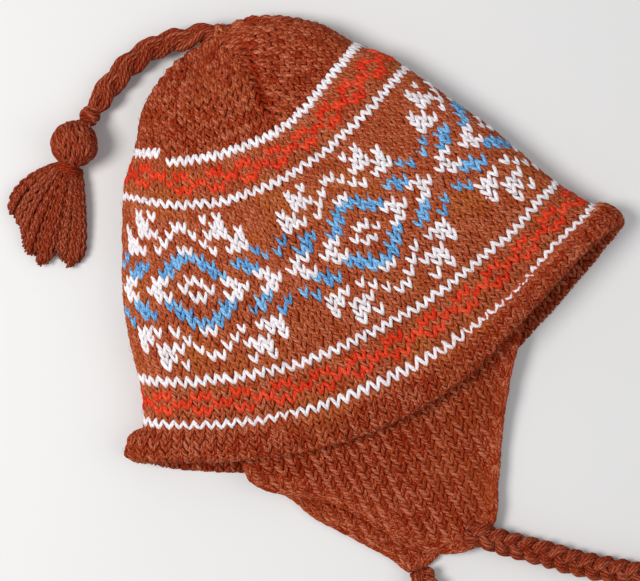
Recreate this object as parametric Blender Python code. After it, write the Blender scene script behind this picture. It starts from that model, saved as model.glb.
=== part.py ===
"""A knitted chullo hat, lying flat: dome, rolled hem, ear flaps, ties and a tasselled crown cord."""

from collections import namedtuple

import bmesh
import bpy
import numpy as np

MM = 0.001

# Hat coordinates, in millimetres: x runs across the hat, down runs from the crown tip to the rim,
# and z is the height above the surface that the hat lies on.
CENTRE_X = 5.9
CENTRE_DOWN = 139.1

WALL = 4.0          # thickness of the knitted wall
GAP = 0.3           # clearance between neighbouring pieces
FOLD_REACH = 17.0   # how far the rounding of the two side folds reaches inward
CROWNING = 0.12     # share of the height that the near face loses toward its folds
SKEW = 0.25         # the smile of each row sits a little to the left
AROUND = 60         # points around the hat
DENSE = 400         # points that a curve is read at before it is spaced evenly
NORMAL_STEP = 0.25  # knit rows between the points that a normal is taken from
TIP_WALL = 6.4      # thickness of the gathered wall at the crown tip

# Knit rows are counted from the crown tip. A row is a loop: it leaves the left fold, crosses the
# near face in a smile, turns at the right fold and comes back underneath.
Section = namedtuple("Section", "row left_x left_down right_x right_down mid_down top fold floor bow")
SECTIONS = (
    Section(0.0, -0.6, 2.6, 0.4, 2.6, 2.7, 12.6, 12.0, 11.4, 0.6),
    Section(1.0, -9.0, 3.6, 8.0, 1.8, 6.0, 17.5, 12.0, 6.6, 0.6),
    Section(2.0, -16.5, 4.4, 15.5, 1.4, 9.5, 20.0, 12.0, 3.6, 0.6),
    Section(4.0, -27.0, 8.6, 28.5, 6.4, 17.5, 24.0, 12.0, 0.6, 0.7),
    Section(6.5, -37.5, 14.0, 39.0, 13.8, 26.0, 27.0, 12.0, 0.0, 0.8),
    Section(9.5, -47.0, 21.5, 48.5, 21.5, 36.5, 28.5, 12.0, 0.0, 0.9),
    Section(12.5, -53.5, 30.0, 54.5, 30.5, 47.5, 29.5, 12.0, 0.0, 1.0),
    Section(15.0, -59.5, 37.5, 60.5, 39.0, 56.5, 30.0, 12.0, 0.0, 1.0),
    Section(18.0, -68.5, 46.5, 69.0, 47.5, 68.0, 30.0, 12.0, 0.0, 1.0),
    Section(21.0, -74.0, 55.5, 75.0, 57.5, 79.5, 30.0, 12.0, 0.0, 1.0),
    Section(26.0, -84.0, 75.0, 85.0, 76.0, 98.0, 29.5, 12.0, 0.0, 1.0),
    Section(32.0, -94.0, 96.0, 96.0, 96.0, 120.5, 29.0, 11.5, 0.0, 1.0),
    Section(38.0, -101.0, 118.0, 105.5, 117.0, 143.0, 28.0, 11.0, 0.0, 1.0),
    Section(43.0, -105.0, 137.0, 114.0, 136.5, 162.0, 27.0, 11.0, 0.0, 1.0),
    Section(46.0, -108.5, 146.5, 119.5, 146.0, 173.0, 26.0, 10.5, 0.0, 1.0),
    Section(49.0, -113.5, 155.5, 126.0, 155.0, 184.0, 24.5, 10.0, 0.0, 1.0),
    Section(51.0, -118.0, 160.0, 130.0, 159.5, 191.5, 23.0, 10.0, 0.0, 1.0),
    Section(55.5, -122.5, 167.0, 134.0, 167.5, 205.0, 22.0, 10.0, 0.0, 1.0),
)
BODY_ROWS = (1, 2, 4, 6.5, 9.5, 12.5, 15, 18, 21, 25, 29, 33, 37, 41, 45, 48, 50.6)
INNER_ROWS = (2.5, 4, 6.5, 9.5, 12.5, 15, 18, 21, 25, 29, 33, 37, 41, 45, 48, 50.6)

# The lower layer's rim lies a little further down than the upper layer's.
FAR_SHIFT = 8.5
FAR_SHIFT_ROWS = (21.0, 55.5)

# A crease where two sectors of the crown meet.
Crease = namedtuple("Crease", "x down half_width half_length depth")
CREASE = Crease(8.2, 30.0, 3.6, 20.0, 1.6)

# The hem's cross-section, going round it: the knit row, and how far outside the hat's surface.
HemPoint = namedtuple("HemPoint", "row out")
HEM_SECTION = (
    HemPoint(51.0, 0.0),
    HemPoint(51.5, 1.3),
    HemPoint(52.8, 2.5),
    HemPoint(54.2, 2.3),
    HemPoint(55.3, 0.9),
    HemPoint(55.7, -1.4),
    HemPoint(55.2, -3.6),
    HemPoint(54.0, -4.6),
    HemPoint(52.3, -4.6),
    HemPoint(51.0, -4.0),
)
HEM_AT_FOLDS = 2.1     # the hem stands out further at the folds, as a multiple of its swelling
HEM_FOLD_TURN = 0.04   # how far round from each fold that reaches, in turns

# Ear flaps: each station runs from the flap's left edge to its right edge, bowed down in the middle.
Station = namedtuple("Station", "left_x left_down right_x right_down bow top")
FLAP_NEAR = (
    Station(-78.0, 191.5, 69.0, 187.5, 11.0, 17.0),
    Station(-79.5, 198.0, 67.5, 194.5, 12.0, 15.6),
    Station(-74.5, 207.0, 60.0, 204.0, 12.0, 13.4),
    Station(-62.8, 216.5, 50.5, 216.5, 10.0, 11.2),
    Station(-50.5, 225.5, 42.5, 228.0, 8.0, 9.4),
    Station(-40.5, 238.0, 35.5, 240.0, 7.0, 8.4),
    Station(-31.0, 253.5, 27.0, 253.5, 5.0, 8.3),
    Station(-24.5, 264.0, 22.5, 262.5, 3.0, 8.3),
    Station(-12.5, 272.4, 19.6, 267.5, 1.0, 8.3),
    Station(4.6, 276.8, 16.4, 270.6, 0.0, 8.3),
)
FLAP_FAR = (
    Station(-83.0, 195.8, 60.0, 202.8, 16.2, 4.0),
    Station(-76.0, 207.5, 55.0, 206.0, 13.0, 4.0),
    Station(-66.0, 216.5, 44.0, 217.0, 10.0, 4.0),
    Station(-60.5, 229.5, 34.0, 229.0, 8.0, 4.0),
    Station(-52.0, 241.5, 20.0, 242.0, 6.0, 4.0),
    Station(-41.5, 256.0, 6.0, 256.0, 5.0, 4.0),
    Station(-34.0, 267.0, -5.0, 267.0, 3.0, 4.0),
    Station(-31.0, 274.2, -19.6, 274.8, 0.0, 4.0),
)
FLAP_ACROSS = 14
FLAP_EDGE = 3.0        # how far the rounding of a flap's edge reaches inward
FLAP_EDGE_THIN = 0.75  # how much of the thickness that rounding takes, squared

# Braided cords. Each route is x, down, z along the middle of the braid.
CORD_SIDES = 12
TIE_RADIUS = 5.6
TIE_NEAR_ROUTE = (
    (11.3, 275.0, 6.4),
    (14.5, 279.6, 6.2),
    (22.5, 286.6, 6.0),
    (32.9, 295.2, 5.9),
    (42.2, 303.9, 5.9),
    (54.0, 312.6, 5.9),
    (69.0, 322.6, 5.9),
    (84.0, 333.0, 5.9),
)
TIE_FAR_ROUTE = (
    (-25.3, 274.95, 5.9),
    (-25.9, 283.0, 5.9),
    (-27.8, 297.0, 5.9),
    (-31.0, 314.0, 5.9),
    (-34.5, 331.0, 5.9),
    (-36.5, 349.0, 5.9),
    (-36.0, 369.0, 5.9),
)
CROWN_CORD_RADIUS = 5.9
CROWN_CORD_ROUTE = (
    (-3.2, -2.8, 14.0),
    (-12.0, -3.4, 12.6),
    (-21.5, -5.2, 9.6),
    (-31.4, -5.0, 7.2),
    (-44.7, -1.6, 6.4),
    (-56.6, 3.6, 6.3),
    (-65.4, 8.3, 6.3),
)
TIE_KNOT_RADIUS = 7.6
CORD_KNOT = (-69.7, 10.6, 6.6)
CORD_KNOT_RADIUS = 4.6
TASSEL_HEAD = (-82.0, 19.6, 11.2)
TASSEL_HEAD_RADIUS = 10.9
BALL_SEGMENTS = 20

# The tassel's skirt fans out from its neck: distance along its axis, and its two edges.
Fan = namedtuple("Fan", "along left right thickness")
SKIRT_AXIS = (-0.694, 0.72)
SKIRT = (
    Fan(0.0, -5.5, 5.5, 9.0),
    Fan(9.0, -14.5, 10.0, 11.5),
    Fan(18.0, -19.5, 14.5, 11.5),
    Fan(28.0, -20.5, 18.0, 10.0),
    Fan(37.0, -13.5, 19.5, 9.0),
    Fan(45.0, -6.0, 18.5, 7.0),
)
SKIRT_AROUND = 20

BROWN = (0.26, 0.075, 0.022, 1.0)
DARK_BROWN = (0.2, 0.055, 0.017, 1.0)
WOOL_ROUGHNESS = 0.9


def clear_scene():
    for item in list(bpy.data.objects):
        bpy.data.objects.remove(item, do_unlink=True)


def wool(name, colour):
    """A plain rough wool material."""
    material = bpy.data.materials.new(name)
    material.use_nodes = True
    shader = material.node_tree.nodes["Principled BSDF"]
    shader.inputs["Base Color"].default_value = colour
    shader.inputs["Roughness"].default_value = WOOL_ROUGHNESS
    shader.inputs["Metallic"].default_value = 0.0
    return material


def world(points):
    """Hat coordinates in millimetres to metres, with the crown tip toward +Y."""
    points = np.asarray(points, float)
    placed = np.empty_like(points)
    placed[..., 0] = points[..., 0] - CENTRE_X
    placed[..., 1] = CENTRE_DOWN - points[..., 1]
    placed[..., 2] = points[..., 2]
    return placed * MM


def smooth(xs, ys, x):
    """A smooth curve through the points (xs, ys), read at x."""
    xs = np.asarray(xs, float)
    ys = np.asarray(ys, float)
    x = np.asarray(x, float)
    slopes = np.gradient(ys, xs)
    i = np.clip(np.searchsorted(xs, x) - 1, 0, len(xs) - 2)
    step = xs[i + 1] - xs[i]
    u = (x - xs[i]) / step
    start = (1 + 2 * u) * (1 - u) ** 2 * ys[i] + u * (1 - u) ** 2 * step * slopes[i]
    end = u * u * (3 - 2 * u) * ys[i + 1] + u * u * (u - 1) * step * slopes[i + 1]
    return start + end


def section_at(row):
    """The section table, read at any knit row."""
    rows = [section.row for section in SECTIONS]
    columns = zip(*SECTIONS)
    values = [float(smooth(rows, column, row)) for column in columns]
    return Section(*values)


def half_row(row, far, samples):
    """Points across one face along a knit row, from the left fold to the right fold."""
    section = section_at(row)
    across = np.linspace(-1.0, 1.0, samples)
    share = (across + 1) / 2
    half_width = (section.right_x - section.left_x) / 2
    x = section.left_x + share * (section.right_x - section.left_x)
    ends = section.left_down + share * (section.right_down - section.left_down)
    drop = section.mid_down - (section.left_down + section.right_down) / 2
    smile = np.clip(1 - across ** 2, 0, 1) ** section.bow * (1 - SKEW * across)
    down = ends + drop * smile
    reach = min(1.0, FOLD_REACH / half_width)
    inward = np.clip((np.abs(across) - (1 - reach)) / reach, 0, 1)
    rounding = np.sqrt(np.clip(1 - inward ** 2, 0, 1))
    if far:
        z = section.fold - (section.fold - section.floor) * rounding
        shift = FAR_SHIFT * np.clip(np.interp(row, FAR_SHIFT_ROWS, (0, 1)), 0, 1)
        down = down + shift * (1 - across ** 2)
    else:
        crest = section.top - (section.top - section.fold) * CROWNING * across ** 2
        z = section.fold + (crest - section.fold) * rounding
        side = np.exp(-((x - CREASE.x) / CREASE.half_width) ** 2)
        z = z - CREASE.depth * side * np.exp(-((down - CREASE.down) / CREASE.half_length) ** 2)
    return np.stack([x, down, z], axis=1)


def evenly(points, count):
    """Points spaced evenly along an open polyline, ends included."""
    steps = np.linalg.norm(np.diff(points, axis=0), axis=1)
    length = np.concatenate([[0], np.cumsum(steps)])
    wanted = np.linspace(0, length[-1], count)
    return np.stack([np.interp(wanted, length, points[:, axis]) for axis in range(3)], axis=1)


def row_loop(row):
    """One knit row as a closed loop: across the near face, then back along the far face."""
    near = evenly(half_row(row, False, DENSE), AROUND // 2 + 1)
    far = evenly(half_row(row, True, DENSE), AROUND // 2 + 1)
    return np.concatenate([near[:-1], far[::-1][:-1]])


def outward(row):
    """Unit normals of the hat's surface along a row's loop, pointing out."""
    low = max(row - NORMAL_STEP, NORMAL_STEP)
    high = min(row + NORMAL_STEP, SECTIONS[-1].row)
    along = row_loop(high) - row_loop(low)
    loop = row_loop(row)
    around = np.roll(loop, -1, axis=0) - np.roll(loop, 1, axis=0)
    normal = np.cross(along, around)
    normal /= np.linalg.norm(normal, axis=1)[:, None]
    middle = AROUND // 4
    if normal[middle, 2] < 0:
        normal = -normal
    return normal


def offset_loop(row, distance):
    """A row's loop moved out from the surface, or in where the distance is below zero."""
    return row_loop(row) + outward(row) * np.asarray(distance)[..., None]


def strip_cap(mesh, loop):
    """Close a flat slab's ring, whose first half runs above its second half."""
    half = len(loop) // 2
    for i in range(half - 1):
        mesh.faces.new((loop[i], loop[i + 1], loop[-2 - i], loop[-1 - i]))


def tip_cap(mesh, loop, tip):
    """Close a ring with a fan of triangles to one point."""
    point = mesh.verts.new(world(tip))
    for i, corner in enumerate(loop):
        mesh.faces.new((corner, loop[(i + 1) % len(loop)], point))


def loft(name, rings, material, collection, tips=None, closed=False):
    """A closed body through rings of equal count, with tips, slab caps or a join at its ends."""
    count = len(rings[0])
    mesh = bmesh.new()
    loops = [[mesh.verts.new(point) for point in world(ring)] for ring in rings]
    pairs = list(zip(loops, loops[1:]))
    if closed:
        pairs.append((loops[-1], loops[0]))
    for one, other in pairs:
        for i in range(count):
            j = (i + 1) % count
            mesh.faces.new((one[i], one[j], other[j], other[i]))
    if tips:
        tip_cap(mesh, loops[0], tips[0])
        tip_cap(mesh, loops[-1], tips[1])
    elif not closed:
        strip_cap(mesh, loops[0])
        strip_cap(mesh, loops[-1])
    bmesh.ops.recalc_face_normals(mesh, faces=mesh.faces)
    data = bpy.data.meshes.new(name)
    mesh.to_mesh(data)
    mesh.free()
    data.materials.append(material)
    data.shade_smooth()
    item = bpy.data.objects.new(name, data)
    collection.objects.link(item)
    return item


def hat_body(material, collection):
    """The dome: one knitted wall, closed at the crown tip and open at the hem."""
    outer = [row_loop(row) for row in BODY_ROWS]
    inner = [offset_loop(row, -WALL) for row in INNER_ROWS]
    for ring in inner:
        ring[:, 2] = np.clip(ring[:, 2], WALL, None)
    crown = SECTIONS[0]
    tip = (0.0, crown.mid_down, crown.fold)
    inner_tip = (0.0, crown.mid_down + TIP_WALL, crown.fold)
    loft("hat_body", outer + inner[::-1], material, collection, tips=(tip, inner_tip))


def hem_swelling():
    """How far the hem stands out around the loop: more at the two folds."""
    turn = np.arange(AROUND) / AROUND
    from_fold = np.abs((turn + 0.25) % 0.5 - 0.25)
    return 1 + (HEM_AT_FOLDS - 1) * np.exp(-(from_fold / HEM_FOLD_TURN) ** 2)


def rim_hem(material, collection):
    """The rolled hem around the open mouth."""
    swelling = hem_swelling()
    rings = []
    for point in HEM_SECTION:
        out = point.out * (swelling if point.out > 0 else 1.0)
        ring = offset_loop(min(point.row, SECTIONS[-1].row), np.broadcast_to(out, AROUND))
        ring[:, 2] = np.clip(ring[:, 2], 0.0, None)
        rings.append(ring)
    loft("rim_hem", rings, material, collection, closed=True)


def flap(name, stations, under, material, collection):
    """An ear flap: a knitted slab lofted through its stations, with rounded edges."""
    across = np.linspace(-1, 1, FLAP_ACROSS)
    across = np.sin(across * np.pi / 2)
    rings = []
    for station in stations:
        share = (across + 1) / 2
        x = station.left_x + share * (station.right_x - station.left_x)
        down = station.left_down + share * (station.right_down - station.left_down)
        down = down + station.bow * (1 - across ** 2)
        half_width = abs(station.right_x - station.left_x) / 2
        reach = min(1.0, FLAP_EDGE / half_width)
        inward = np.clip((np.abs(across) - (1 - reach)) / reach, 0, 1)
        half = WALL / 2 * np.sqrt(1 - FLAP_EDGE_THIN * inward ** 2)
        middle = station.top - WALL / 2
        upper = np.stack([x, down, middle + half], axis=1)
        lower_half = WALL / 2 if under else half
        lower = np.stack([x, down, np.full_like(x, middle) - lower_half], axis=1)
        rings.append(np.concatenate([upper, lower[::-1]]))
    loft(name, rings, material, collection)


def smooth_route(route, spacing):
    """Evenly spaced points on a smooth curve through a cord's route."""
    route = np.asarray(route, float)
    steps = np.linalg.norm(np.diff(route, axis=0), axis=1)
    at = np.concatenate([[0], np.cumsum(steps)])
    wanted = np.linspace(0, at[-1], DENSE)
    curve = np.stack([smooth(at, route[:, axis], wanted) for axis in range(3)], axis=1)
    length = np.linalg.norm(np.diff(curve, axis=0), axis=1).sum()
    return evenly(curve, round(length / spacing) + 1)


def cord(name, route, radius, material, collection):
    """A cord as a plain round tube along its route, with filled ends."""
    points = world(smooth_route(route, radius * 2))
    data = bpy.data.curves.new(name, "CURVE")
    data.dimensions = "3D"
    data.bevel_depth = radius * MM
    data.bevel_resolution = CORD_SIDES // 2 - 2
    data.use_fill_caps = True
    spline = data.splines.new("POLY")
    spline.points.add(len(points) - 1)
    for control, point in zip(spline.points, points):
        control.co = (*point, 1.0)
    data.materials.append(material)
    item = bpy.data.objects.new(name, data)
    collection.objects.link(item)


def ball(name, centre, radius, material, collection):
    """A round knot or tassel head."""
    mesh = bmesh.new()
    bmesh.ops.create_uvsphere(
        mesh, u_segments=BALL_SEGMENTS, v_segments=BALL_SEGMENTS // 2, radius=radius * MM
    )
    data = bpy.data.meshes.new(name)
    mesh.to_mesh(data)
    mesh.free()
    data.materials.append(material)
    data.shade_smooth()
    item = bpy.data.objects.new(name, data)
    item.location = world(centre)
    collection.objects.link(item)


def end_knot(name, route, radius, material, collection):
    """A plain knot just past the end of a tie."""
    end = np.array(route[-1])
    before = np.array(route[-2])
    heading = (end - before) / np.linalg.norm(end - before)
    centre = end + heading * (radius + GAP)
    centre[2] = radius + GAP
    ball(name, centre, radius, material, collection)


def tassel_skirt(material, collection):
    """The outer form of the tassel's cut yarn ends, fanned out on the surface."""
    axis = np.array(SKIRT_AXIS) / np.linalg.norm(SKIRT_AXIS)
    side = np.array((axis[1], -axis[0]))
    neck = np.array(TASSEL_HEAD[:2]) + axis * (TASSEL_HEAD_RADIUS + GAP)
    angle = np.linspace(0, 2 * np.pi, SKIRT_AROUND, endpoint=False)
    rings = []
    tips = []
    for fan in SKIRT:
        middle = (fan.left + fan.right) / 2
        half_width = (fan.right - fan.left) / 2
        offset = middle + half_width * np.cos(angle)
        spot = neck + axis * fan.along + offset[:, None] * side
        z = GAP + fan.thickness / 2 * (1 + np.sin(angle))
        rings.append(np.column_stack([spot, z]))
        tips.append((*(neck + axis * fan.along + middle * side), GAP + fan.thickness / 2))
    loft("tassel_skirt", rings, material, collection, tips=(tips[0], tips[-1]))


def main():
    clear_scene()
    collection = bpy.data.collections.new("chullo_hat")
    bpy.context.scene.collection.children.link(collection)
    knit = wool("knit_wool", BROWN)
    cord_wool = wool("cord_wool", DARK_BROWN)

    hat_body(knit, collection)
    rim_hem(knit, collection)
    flap("ear_flap_near", FLAP_NEAR, False, knit, collection)
    flap("ear_flap_far", FLAP_FAR, True, knit, collection)

    cord("tie_near", TIE_NEAR_ROUTE, TIE_RADIUS, cord_wool, collection)
    cord("tie_far", TIE_FAR_ROUTE, TIE_RADIUS, cord_wool, collection)
    end_knot("tie_near_knot", TIE_NEAR_ROUTE, TIE_KNOT_RADIUS, cord_wool, collection)
    end_knot("tie_far_knot", TIE_FAR_ROUTE, TIE_KNOT_RADIUS, cord_wool, collection)

    cord("crown_cord", CROWN_CORD_ROUTE, CROWN_CORD_RADIUS, cord_wool, collection)
    ball("crown_cord_knot", CORD_KNOT, CORD_KNOT_RADIUS, cord_wool, collection)
    ball("tassel_head", TASSEL_HEAD, TASSEL_HEAD_RADIUS, cord_wool, collection)
    tassel_skirt(cord_wool, collection)


main()
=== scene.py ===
"""The looks of a knitted chullo hat: stitches, braided ties and a tassel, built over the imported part."""

import bpy
import numpy as np
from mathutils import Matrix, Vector

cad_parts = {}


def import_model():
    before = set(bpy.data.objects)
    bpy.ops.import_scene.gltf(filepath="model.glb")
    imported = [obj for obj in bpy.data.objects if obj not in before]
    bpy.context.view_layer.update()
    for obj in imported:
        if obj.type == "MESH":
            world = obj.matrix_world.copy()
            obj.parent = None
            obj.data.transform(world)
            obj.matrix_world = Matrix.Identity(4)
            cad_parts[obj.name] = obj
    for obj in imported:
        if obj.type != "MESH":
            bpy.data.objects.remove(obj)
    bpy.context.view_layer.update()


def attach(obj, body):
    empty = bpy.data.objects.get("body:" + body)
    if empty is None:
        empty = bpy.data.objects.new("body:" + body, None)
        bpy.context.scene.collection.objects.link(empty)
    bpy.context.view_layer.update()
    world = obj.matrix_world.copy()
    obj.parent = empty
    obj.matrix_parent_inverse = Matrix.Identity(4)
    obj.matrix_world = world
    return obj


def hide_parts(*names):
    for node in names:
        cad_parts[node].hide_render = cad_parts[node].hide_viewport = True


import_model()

MM = 0.001
SEED = 7

# Hat coordinates, in millimetres: x runs across the hat, down runs from the crown tip to the rim,
# and z is the height above the floor. Knit rows are counted from the crown tip.
CENTRE_X = 5.9
CENTRE_DOWN = 139.1
WALL = 4.0
GAP = 0.3

# The hat's surface, as the part has it.
FOLD_REACH = 17.0
CROWNING = 0.12
SKEW = 0.25
FAR_SHIFT = 8.5
FAR_SHIFT_ROWS = (21.0, 55.5)
CREASE_X, CREASE_DOWN, CREASE_WIDE, CREASE_LONG, CREASE_DEEP = 8.2, 30.0, 3.6, 20.0, 1.6
# row, left x, left down, right x, right down, middle down, top, fold, floor, bow
SECTIONS = np.array((
    (0, -0.6, 2.6, 0.4, 2.6, 2.7, 12.6, 12, 11.4, 0.6),
    (1, -9, 3.6, 8, 1.8, 6, 17.5, 12, 6.6, 0.6),
    (2, -17.6, 4.4, 15.5, 1.4, 9.5, 20, 12, 3.6, 0.6),
    (4, -28.8, 8.7, 28.5, 6.4, 17.5, 24, 12, 0.6, 0.7),
    (6.5, -38.9, 14.1, 39, 13.8, 26, 27, 12, 0, 0.8),
    (9.5, -47.6, 21.5, 48.5, 21.5, 36.5, 28.5, 12, 0, 0.9),
    (12.5, -53.5, 30, 54.5, 30.5, 47.5, 29.5, 12, 0, 1),
    (15, -59.5, 37.5, 60.5, 39, 56.5, 30, 12, 0, 1),
    (18, -68.5, 46.5, 69, 47.5, 68, 30, 12, 0, 1),
    (21, -74, 55.5, 75, 57.5, 79.5, 30, 12, 0, 1),
    (26, -84, 75, 85, 76, 98, 29.5, 12, 0, 1),
    (32, -94, 96, 96, 96, 120.5, 29, 11.5, 0, 1),
    (38, -101, 118, 105.5, 117, 143, 28, 11, 0, 1),
    (43, -105, 137, 114, 136.5, 162, 27, 11, 0, 1),
    (46, -108.5, 146.5, 119.5, 146, 173, 26, 10.5, 0, 1),
    (49, -113.5, 155.5, 126, 155, 184, 24.5, 10, 0, 1),
    (51, -118, 160, 130, 159.5, 191.5, 23, 10, 0, 1),
    (55.5, -122.5, 167, 134, 167.5, 205, 22, 10, 0, 1),
))
# The hem's roll, going round it: knit row, and how far outside the surface.
HEM_START = 48.35       # the dome's grid gives way to the hem's here
HEM_ROLL = np.array((
    (49.7, 0), (50.1, 1.6), (51.1, 3), (52.8, 3.5), (54.2, 3.1), (55.2, 1.5),
    (55.6, -0.8), (55.2, -3), (54, -4.2), (52.3, -4.4), (50.9, -4),
))
# How many rows further down than that the roll starts, by turn: it follows the last white line.
HEM_SHIFT = np.array((
    (0, -1.05), (0.1, -0.55), (0.2, 0), (0.3, 0.3), (0.34, 0.15), (0.38, -0.2), (0.43, -0.5),
    (0.5, -0.75), (1, -1.05),
))
# Near the right fold the roll tips over the last white line: what is added to each of its points,
# in rows and mm, and how much of it, by turn.
HEM_OVER = np.array((
    (0.35, -0.8), (-0.75, 0.9), (-0.7, 1.2), (-0.2, 0.6), (0, 0.2), (0, 0),
    (0, 0), (0, 0), (0, 0), (0, 0), (0, 0),
))
HEM_OVER_SHARE = np.array((
    (0, 0), (0.32, 0), (0.355, 0.2), (0.39, 0.35), (0.41, 0.35), (0.45, 0.25), (0.485, 0.1),
    (0.5, 0), (1, 0),
))
# How far the roll stands out, and how long it is, by turn: at the left fold, along the near face,
# at the right fold, and back along the far face, which shows past the near one.
HEM_SWELL = np.array((
    (0, 1.75), (0.025, 1.45), (0.06, 1.05), (0.35, 1), (0.40, 1.15), (0.47, 1.2), (0.5, 0.95),
    (0.56, 1), (0.94, 1.05), (0.975, 1.45), (1, 1.75),
))
HEM_LONG = np.array((
    (0, 1.26), (0.02, 1.14), (0.045, 0.94), (0.08, 0.85), (0.16, 0.87), (0.30, 0.93), (0.345, 0.86),
    (0.39, 0.79), (0.43, 0.77), (0.465, 0.87), (0.485, 1.08), (0.5, 1.30), (0.515, 1.40),
    (0.535, 1.34), (0.58, 1.22), (0.70, 1.18), (0.85, 1.18), (0.93, 1.21), (0.975, 1.31), (1, 1.29),
))

# Ear flaps: left x, left down, right x, right down, bow, top.
FLAP_NEAR = np.array((
    (-78, 191.5, 69, 187.5, 11, 15.6),
    (-79.5, 198, 67.5, 194.5, 12, 14),
    (-74.5, 207, 60, 204, 12, 12.4),
    (-62.8, 216.5, 50.5, 216.5, 10, 10.9),
    (-50.5, 225.5, 42.5, 228, 8, 9.4),
    (-40.5, 238, 35.5, 240, 7, 8.4),
    (-31, 253.5, 27, 253.5, 5, 8.3),
    (-24.5, 264, 22.5, 262.5, 3, 8.3),
    (-12.5, 272.4, 19.6, 267.5, 1, 8.3),
    (4.6, 276.8, 16.4, 270.6, 0, 8.3),
))
FLAP_FAR = np.array((
    (-77, 197, 60, 202.8, 15.5, 4),
    (-72.5, 208.5, 55, 206, 12.6, 4),
    (-66, 216.5, 44, 217, 10, 4),
    (-60.5, 229.5, 34, 229, 8, 4),
    (-52, 241.5, 20, 242, 6, 4),
    (-41.5, 256, 6, 256, 5, 4),
    (-34, 267, -5, 267, 3, 4),
    (-31, 274.2, -19.6, 274.8, 0, 4),
))

# Cords: x, down, z along the middle of each braid.
TIE_NEAR_ROUTE = (
    (3, 267.6, 6.4), (7, 270.9, 8.4), (11.4, 275.2, 8.2), (15, 279.1, 7), (22.5, 286, 6),
    (32.9, 294.9, 5.9), (42.1, 303.7, 5.9), (53.6, 313, 5.9), (68.4, 323.8, 5.9),
    (83.3, 334.4, 5.9),
)
TIE_FAR_ROUTE = (
    (-25.3, 274.95, 5.9), (-25.9, 283, 5.9), (-27.8, 297, 5.9), (-31, 314, 5.9),
    (-34.5, 331, 5.9), (-36.5, 349, 5.9), (-36, 369, 5.9),
)
CROWN_ROUTE = (
    (2.4, 3.4, 12), (-3.2, 0.2, 13.4), (-11.6, -1.2, 12.4), (-20.8, -4, 9.8),
    (-30.8, -5, 7.4), (-44, -2.6, 6.6), (-55.9, 2.3, 6.4), (-67.6, 8.8, 6.6),
)
TIE_KNOT_RADIUS = 7.6
CORD_KNOT = (-69.9, 10.4, 7.0)
CORD_KNOT_RADIUS = 5.1
TASSEL_HEAD = (-82.0, 19.6, 11.2)
TASSEL_HEAD_RADIUS = 10.9
SKIRT_AXIS = (-0.694, 0.72)
# How thick the skirt's fan is, along its axis.
SKIRT_THICK = np.array(((0, 9), (9, 11.5), (18, 11.5), (28, 10), (37, 9), (45, 7)))

rng = np.random.default_rng(SEED)


# Curves and surfaces

def world(points):
    """Hat coordinates in millimetres to metres, with the crown tip toward +Y."""
    points = np.asarray(points, float)
    placed = np.empty_like(points)
    placed[..., 0] = points[..., 0] - CENTRE_X
    placed[..., 1] = CENTRE_DOWN - points[..., 1]
    placed[..., 2] = points[..., 2]
    return placed * MM


def smooth(xs, ys, x):
    """A smooth curve through the points (xs, ys), read at x. ys may have several columns."""
    xs = np.asarray(xs, float)
    ys = np.asarray(ys, float)
    x = np.asarray(x, float)
    slopes = np.gradient(ys, xs, axis=0)
    i = np.clip(np.searchsorted(xs, x) - 1, 0, len(xs) - 2)
    step = xs[i + 1] - xs[i]
    u = (x - xs[i]) / step
    if ys.ndim > 1:
        step = step[..., None]
        u = u[..., None]
    start = (1 + 2 * u) * (1 - u) ** 2 * ys[i] + u * (1 - u) ** 2 * step * slopes[i]
    end = u * u * (3 - 2 * u) * ys[i + 1] + u * u * (u - 1) * step * slopes[i + 1]
    return start + end


def curve(table, x):
    """A smooth curve through a table whose first column is x."""
    return smooth(table[:, 0], table[:, 1] if table.shape[1] == 2 else table[:, 1:], x)


def straight(table, x):
    """Straight lines through a two-column table."""
    return np.interp(x, table[:, 0], table[:, 1])


def near_to(place, centre, reach):
    """A bell from 1 at the centre toward 0 past its reach."""
    return np.exp(-((place - centre) / reach) ** 2)


def bells(table, row, turn):
    """The sum of bumps at row and turn. Each is its turn, row, reach round, reach down and amount."""
    total = 0.0
    for bell_turn, bell_row, wide, tall, amount in table:
        total = total + amount * near_to(turn, bell_turn, wide) * near_to(row, bell_row, tall)
    return total


def length_along(points):
    """The distance along a polyline to each of its points."""
    return np.concatenate([[0], np.cumsum(np.linalg.norm(np.diff(points, axis=0), axis=1))])


def unit(vectors):
    return vectors / np.maximum(np.linalg.norm(vectors, axis=-1, keepdims=True), 1e-9)


def half_row(row, far, samples):
    """Points across one face along a knit row, from the left fold to the right fold."""
    section = curve(SECTIONS, np.array(row))
    left_x, left_down, right_x, right_down, mid_down, top, fold, floor, bow = section
    across = np.linspace(-1.0, 1.0, samples)
    share = (across + 1) / 2
    half_width = (right_x - left_x) / 2
    x = left_x + share * (right_x - left_x)
    ends = left_down + share * (right_down - left_down)
    drop = mid_down - (left_down + right_down) / 2
    down = ends + drop * np.clip(1 - across ** 2, 0, 1) ** bow * (1 - SKEW * across)
    reach = min(1.0, FOLD_REACH / half_width)
    inward = np.clip((np.abs(across) - (1 - reach)) / reach, 0, 1)
    rounding = np.sqrt(np.clip(1 - inward ** 2, 0, 1))
    if far:
        z = fold - (fold - floor) * rounding
        shift = FAR_SHIFT * np.clip(np.interp(row, FAR_SHIFT_ROWS, (0, 1)), 0, 1)
        down = down + shift * (1 - across ** 2)
    else:
        crest = top - (top - fold) * CROWNING * across ** 2
        z = fold + (crest - fold) * rounding
        crease = near_to(x, CREASE_X, CREASE_WIDE) * near_to(down, CREASE_DOWN, CREASE_LONG)
        z = z - CREASE_DEEP * crease
    return np.stack([x, down, z], axis=1)


def evenly(points, count):
    """Points spaced evenly along an open polyline, ends included."""
    length = length_along(points)
    wanted = np.linspace(0, length[-1], count)
    return np.stack([np.interp(wanted, length, points[:, axis]) for axis in range(3)], axis=1)


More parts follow.
